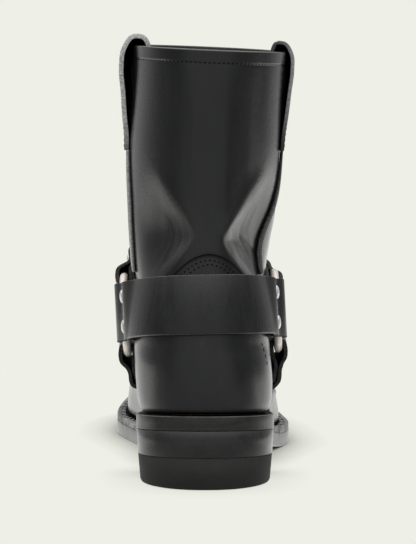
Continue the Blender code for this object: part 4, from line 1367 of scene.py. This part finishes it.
# %% Loops
Stand = namedtuple("Stand", "out z pinch pale")  # the pinch draws a loop's front edge in
LOOP_OUTER = (
    Stand(0.95, 184.7, 0, 0),
    Stand(1.2, 193, 0.3, 0.1),
    Stand(2.3, 204, 1.3, 0.4),
    Stand(3.2, 218, 2.4, 0.55),
    Stand(3.8, 230, 3.0, 0.6),
    Stand(2.6, 239.5, 3.8, 0.5),
    Stand(-1.4, 245.4, 4.6, 0.2),
    Stand(-6.0, 245.6, 4.6, 0.1),
    Stand(-8.6, 240, 3.6, 0.1),
    Stand(-8.2, 230, 2.4, 0.1),
    Stand(-6.6, 219, 1.2, 0.1),
    Stand(-5.2, 208, 0, 0.1),
)
LOOP_INNER = (
    Stand(0.95, 185.2, 0, 0.3),
    Stand(1.3, 193, 0.4, 0.7),
    Stand(3.1, 204, 2.0, 1),
    Stand(4.8, 218, 3.8, 1),
    Stand(6.4, 231, 5.2, 1),
    Stand(5.1, 243.0, 5.2, 1.1),
    Stand(0.2, 249.3, 5.2, 1.2),
    Stand(-5.6, 248.9, 5.2, 1.1),
    Stand(-9.0, 243, 3.8, 0.8),
    Stand(-8.8, 232, 2.6, 0.5),
    Stand(-7.0, 220, 1.4, 0.5),
    Stand(-5.4, 208, 0, 0.5),
)
LOOP_WIDTH = 25.0
LOOP_LEVEL, LOOP_READS, LOOP_SPAN = 8, 40, 8


def pull_loop(name, side, stands, thick, node):
    """A loop over the collar where the shaft is widest."""
    column = skin(math.pi / 2 * side, np.linspace(LOOP_LEVEL, TOP, LOOP_READS), hem=False)
    path = []
    for stand in stands:
        x, y = (np.interp(stand.z, column[:, 2], column[:, k]) for k in (0, 1))
        path.append((x + side * stand.out, y, stand.z, stand.pinch, stand.pale))
    *line, pinch, pale = along_path(path, LOOP_SPAN).T
    line = np.stack(line, 1)
    tangent = np.gradient(line, axis=0)
    outward = np.stack([tangent[:, 2], np.zeros(len(line)), -tangent[:, 0]], 1) * side
    outward = unit(outward)
    half = np.array([0, LOOP_WIDTH / 2, 0])
    rear, front = line - half, line + half - outward * pinch[:, None]
    # painted shade on the loop's rough inner face
    middle, shade_along = (rear + front) / 2, [1] * len(line)
    mesh = strip(name, middle, unit(front - rear), LOOP_WIDTH, thick, pale[:, None], shade_along, -side, 1, False)
    return piece(name, mesh, upper_leather, "leather", node), path


loop_outer, loop_outer_path = pull_loop("loop_outer", 1, LOOP_OUTER, thick=2.3, node="pull_loop_outer")
loop_inner, loop_inner_path = pull_loop("loop_inner", -1, LOOP_INNER, thick=2.9, node="pull_loop_inner")

# %% [markdown]
# ## Stitches and rivets
#
# Both repeat along a path, so Geometry Nodes set them out: a row of points keeps a mark of which way is out,
# the row is cut into even steps, and a small rounded shape is turned and set on each step. The row for a
# panel is its own edge, moved in and laid on the panel's face. A rivet, and a welt stitch that slants across
# its row, has a short path of its own, with a shape at each of its two ends.


# %% A tree that sews
Stitch = namedtuple("Stitch", "pitch length width height")
USUAL = Stitch(0.003, 0.0023, 0.0006, 0.0005)  # metres


def sewing_tree(name, material, segments, rings):
    """Sets a rounded shape on even steps of each path, facing along the mark called out."""
    tree = bpy.data.node_groups.new(name, "GeometryNodeTree")
    tree.interface.new_socket(name="Path", in_out="INPUT", socket_type="NodeSocketGeometry")
    for size, start in USUAL._asdict().items():
        wanted = tree.interface.new_socket(name=size.title(), in_out="INPUT", socket_type="NodeSocketFloat")
        wanted.default_value = start
    tree.interface.new_socket(name="Stitches", in_out="OUTPUT", socket_type="NodeSocketGeometry")
    begin = Value(tree)
    given = tree.nodes.new("NodeGroupInput")
    path, pitch, length, width, height = (Value(tree, given.outputs[k]) for k in range(5))
    curve = begin.node("GeometryNodeMeshToCurve", None, {0: path})
    steps = begin.node("GeometryNodeResampleCurve", {"mode": "LENGTH"}, {"Curve": curve, "Length": pitch})
    along = begin.node("GeometryNodeInputTangent")
    out = begin.node("GeometryNodeInputNamedAttribute", {"data_type": "FLOAT_VECTOR"}, {"Name": "out"})
    turned = begin.node("FunctionNodeAlignRotationToVector", {"axis": "Y"}, {"Vector": along})
    axes, links = {"axis": "Z", "pivot_axis": "Y"}, {"Rotation": turned, "Vector": out}
    facing = begin.node("FunctionNodeAlignRotationToVector", axes, links)
    links = {"Segments": segments, "Rings": rings, "Radius": 0.5}
    shape = begin.node("GeometryNodeMeshUVSphere", None, links)
    size = begin.node("ShaderNodeCombineXYZ", None, {0: width, 1: length, 2: height})
    links = {"Points": steps, "Instance": shape, "Rotation": facing, "Scale": size}
    repeated = begin.node("GeometryNodeInstanceOnPoints", None, links)
    real = begin.node("GeometryNodeRealizeInstances", None, {0: repeated})
    coloured = begin.node("GeometryNodeSetMaterial", None, {"Geometry": real, "Material": material})
    result = tree.nodes.new("NodeGroupOutput")
    coloured.into(result.inputs[0])
    return tree


sewing = sewing_tree("sewing", thread, segments=8, rings=5)


def sewn(name, rows, stitch, tree=sewing, material=thread, slot="leather", nodes=()):
    """Stitches of a size in millimetres along rows of points, in metres, with the way out at each."""
    points = np.concatenate([row for row, out in rows])
    outs = np.concatenate([out for row, out in rows])
    edges, start = [], 0
    for row, out in rows:
        edges += [(start + k, start + k + 1) for k in range(len(row) - 1)]
        start += len(row)
    mesh = bpy.data.meshes.new(name)
    mesh.from_pydata(points.tolist(), edges, [])
    mark = mesh.attributes.new("out", "FLOAT_VECTOR", "POINT")
    mark.data.foreach_set("vector", outs.astype(np.float32).ravel())
    laid = bpy.data.objects.new(name, mesh)
    scene.collection.objects.link(laid)
    modifier = laid.modifiers.new("sewing", "NODES")
    modifier.node_group = tree
    wanted = {size.title(): value * MM for size, value in stitch._asdict().items()}
    for item in tree.interface.items_tree:
        if item.name in wanted:
            modifier[item.identifier] = wanted[item.name]
    stitches = plain(laid)
    bpy.data.objects.remove(laid)
    return piece(name, stitches, material, slot, *nodes)


# %% Rows along an edge
def surface(made):
    mesh = made.data
    return BVHTree.FromPolygons([v.co for v in mesh.vertices], [p.vertices[:] for p in mesh.polygons])


def hit_row(hits):
    """A row from hits on a surface: their places, and the ways out there."""
    return np.array([hit[0] for hit in hits]), np.array([hit[1] for hit in hits])


def lone_row(place, way, out):
    """A path so short that the shapes at its ends look like one."""
    return np.array([place - way, place + way]), np.array([out, out])


def row_inside(face, on, inward, trim=0.0):
    """A row along the top of a face's grid, moved in from its edge and laid on the piece."""
    top, below = placed(face[-1]), placed(face[-2])
    return laid_row(top, below - top, on, inward, trim)


def laid_row(edge, way_in, on, inward, trim):
    tangent = unit(np.gradient(edge, axis=0))
    way_in = unit(way_in - tangent * np.sum(way_in * tangent, axis=1, keepdims=True))
    keep = slice(int(len(edge) * trim), len(edge) - int(len(edge) * trim))
    return hit_row([on.find_nearest(Vector(spot)) for spot in (edge + way_in * inward * MM)[keep]])


# %% Sewing the panels and the collar
COUNTER_ROWS, COUNTER_TRIM = (3.4, 5.8), 0.06  # in from the edge, and the share left plain at each end
VAMP_ROWS, VAMP_TRIM = (2.6, 5.4), 0.05
NICKS = ((31.8, 78.6), (33.0, 74.6), (33.9, 71.2), (34.6, 68.0))  # across and height, on the counter

counter_on, vamp_on, upper_on = surface(counter), surface(vamp), surface(upper)
counter_rows = [row_inside(counter_face, counter_on, inward, COUNTER_TRIM) for inward in COUNTER_ROWS]
sewn("counter_stitches", counter_rows, Stitch(2.6, 1.4, 0.9, 0.5))
nicks = [counter_on.ray_cast(Vector(placed([x, -CLEAR, z])), Vector((0, 1, 0))) for x, z in NICKS]
sewn("counter_nicks", [hit_row(nicks)], Stitch(3.2, 2.4, 0.9, 0.4))
vamp_rows = [row_inside(vamp_face, vamp_on, inward, VAMP_TRIM) for inward in VAMP_ROWS]
sewn("vamp_stitches", vamp_rows, Stitch(3.0, 1.9, 1.0, 0.6))
collar_edge = placed(outside[-1])
collar_edge = np.concatenate([collar_edge, collar_edge[:1]])
collar_down = np.tile([0.0, 0.0, -1.0], (len(collar_edge), 1))
collar_row = laid_row(collar_edge, collar_down, upper_on, HEM, 0.0)
sewn("collar_stitches", [collar_row], Stitch(2.6, 1.5, 0.7, 0.5))

# %% Sewing the welt and the loops
WELT_PITCH, WELT_SLANT, WELT_TRIM = 6.4, math.radians(55), 0.05
WELT_STITCH = Stitch(WELT_PITCH * 4, 3.8, 1.5, 0.6)
GROOVE_SINK = 0.3  # the thread's place below the welt's face
LONE = 0.1  # half a lone shape's path, in millimetres for a stitch and by the radius for a rivet
SEWN_FROM, SEWN_TO, SEWN_POINTS = 2.5, 12.0, 12  # up from a loop's tail
SEWN_IN, SEWN_OFF = 2.6, 6  # in from a loop's edge, and out from its face

up = np.array([0.0, 0.0, 1.0])
welt_row = placed(welt_line(GROOVE, 1, GROOVE_SINK))
gone = distances(welt_row)
stops = np.arange(gone[-1] * WELT_TRIM, gone[-1] * (1 - WELT_TRIM), WELT_PITCH * MM)
welt_stops = np.stack([np.interp(stops, gone, column) for column in welt_row.T], 1)
welt_way = unit(np.gradient(welt_stops, axis=0))
welt_way = welt_way * math.cos(WELT_SLANT) + np.cross(welt_way, up) * math.sin(WELT_SLANT)
welt_rows = [lone_row(place, way * MM * LONE, up) for place, way in zip(welt_stops, welt_way)]
welt_sewing = sewing_tree("welt sewing", welt_thread, segments=12, rings=8)
sewn("welt_stitches", welt_rows, WELT_STITCH, welt_sewing, welt_thread, "sole")
loop_rows = []
for path, side, made in ((loop_outer_path, 1, loop_outer), (loop_inner_path, -1, loop_inner)):
    on = surface(made)
    tail = np.array(path[0])
    for along in (-1, 1):
        heights = np.linspace(tail[2] + SEWN_FROM, tail[2] + SEWN_TO, SEWN_POINTS)
        x, y = tail[0] + side * SEWN_OFF, tail[1] + along * (LOOP_WIDTH / 2 - SEWN_IN)
        edge = placed(np.array([(x, y, z) for z in heights]))
        loop_rows.append(hit_row([on.find_nearest(Vector(spot)) for spot in edge]))
sewn("loop_stitches", loop_rows, Stitch(3.0, 2.2, 0.7, 0.6))

# %% Rivets
RIVET_RADIUS, RIVET_HIGH = 3.6, 1.6
RIVET = Stitch(RIVET_RADIUS * 10, RIVET_RADIUS * 2, RIVET_RADIUS * 2, RIVET_HIGH * 2)


def rivet_places(ring, strap):
    """The foot of each rivet on the outer ply, and the way out there."""
    middle, out, away, across = ring_axes(ring, strap)
    near, far = rivet_seat(ring, strap)
    tangent = away + out * (far - near) / (2 * RIVET_SEAT)
    tangent = tangent / np.linalg.norm(tangent)
    face = out - tangent * np.dot(out, tangent)
    face = face / np.linalg.norm(face)
    foot = middle + away * RIVET_AT + out * ((near + far) / 2 + STRAP_THICK + STRAP_GAP)
    if strap is ARCH_STRAP:
        across = twisted(foot, across, middle, out, away)
        face = np.cross(across, tangent) * np.sign(np.dot(np.cross(across, tangent), face))
    foot = foot + face * STRAP_THICK / 2
    return [(placed(foot + across * shift), face, across) for shift in strap.rivets]


riveting = sewing_tree("riveting", rivet_plate, segments=24, rings=14)
rivet_rows, rivet_nodes = [], []
for ring in RINGS:
    for strap in (HEEL_STRAP, INSTEP_STRAP, ARCH_STRAP):
        for number, (foot, face, across) in enumerate(rivet_places(ring, strap), 1):
            rivet_rows.append(lone_row(foot, across * RIVET_RADIUS * MM * LONE, face))
            rivet_nodes.append(f"rivet_{strap.name}_{ring.name}_{number}")
sewn("harness_rivets", rivet_rows, RIVET, riveting, rivet_plate, "nickel", rivet_nodes)

# %% [markdown]
# ## Finish
#
# How far the dressed boot's box reaches past the box of the solids is printed, to see that the dressing has not
# changed the boot's size.

# %% Sizes and finish
low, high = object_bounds()
grown = [[round(v / MM, 2) for v in more] for more in (cad_low - low, high - cad_high)]
print("grown by, in mm:", *grown)
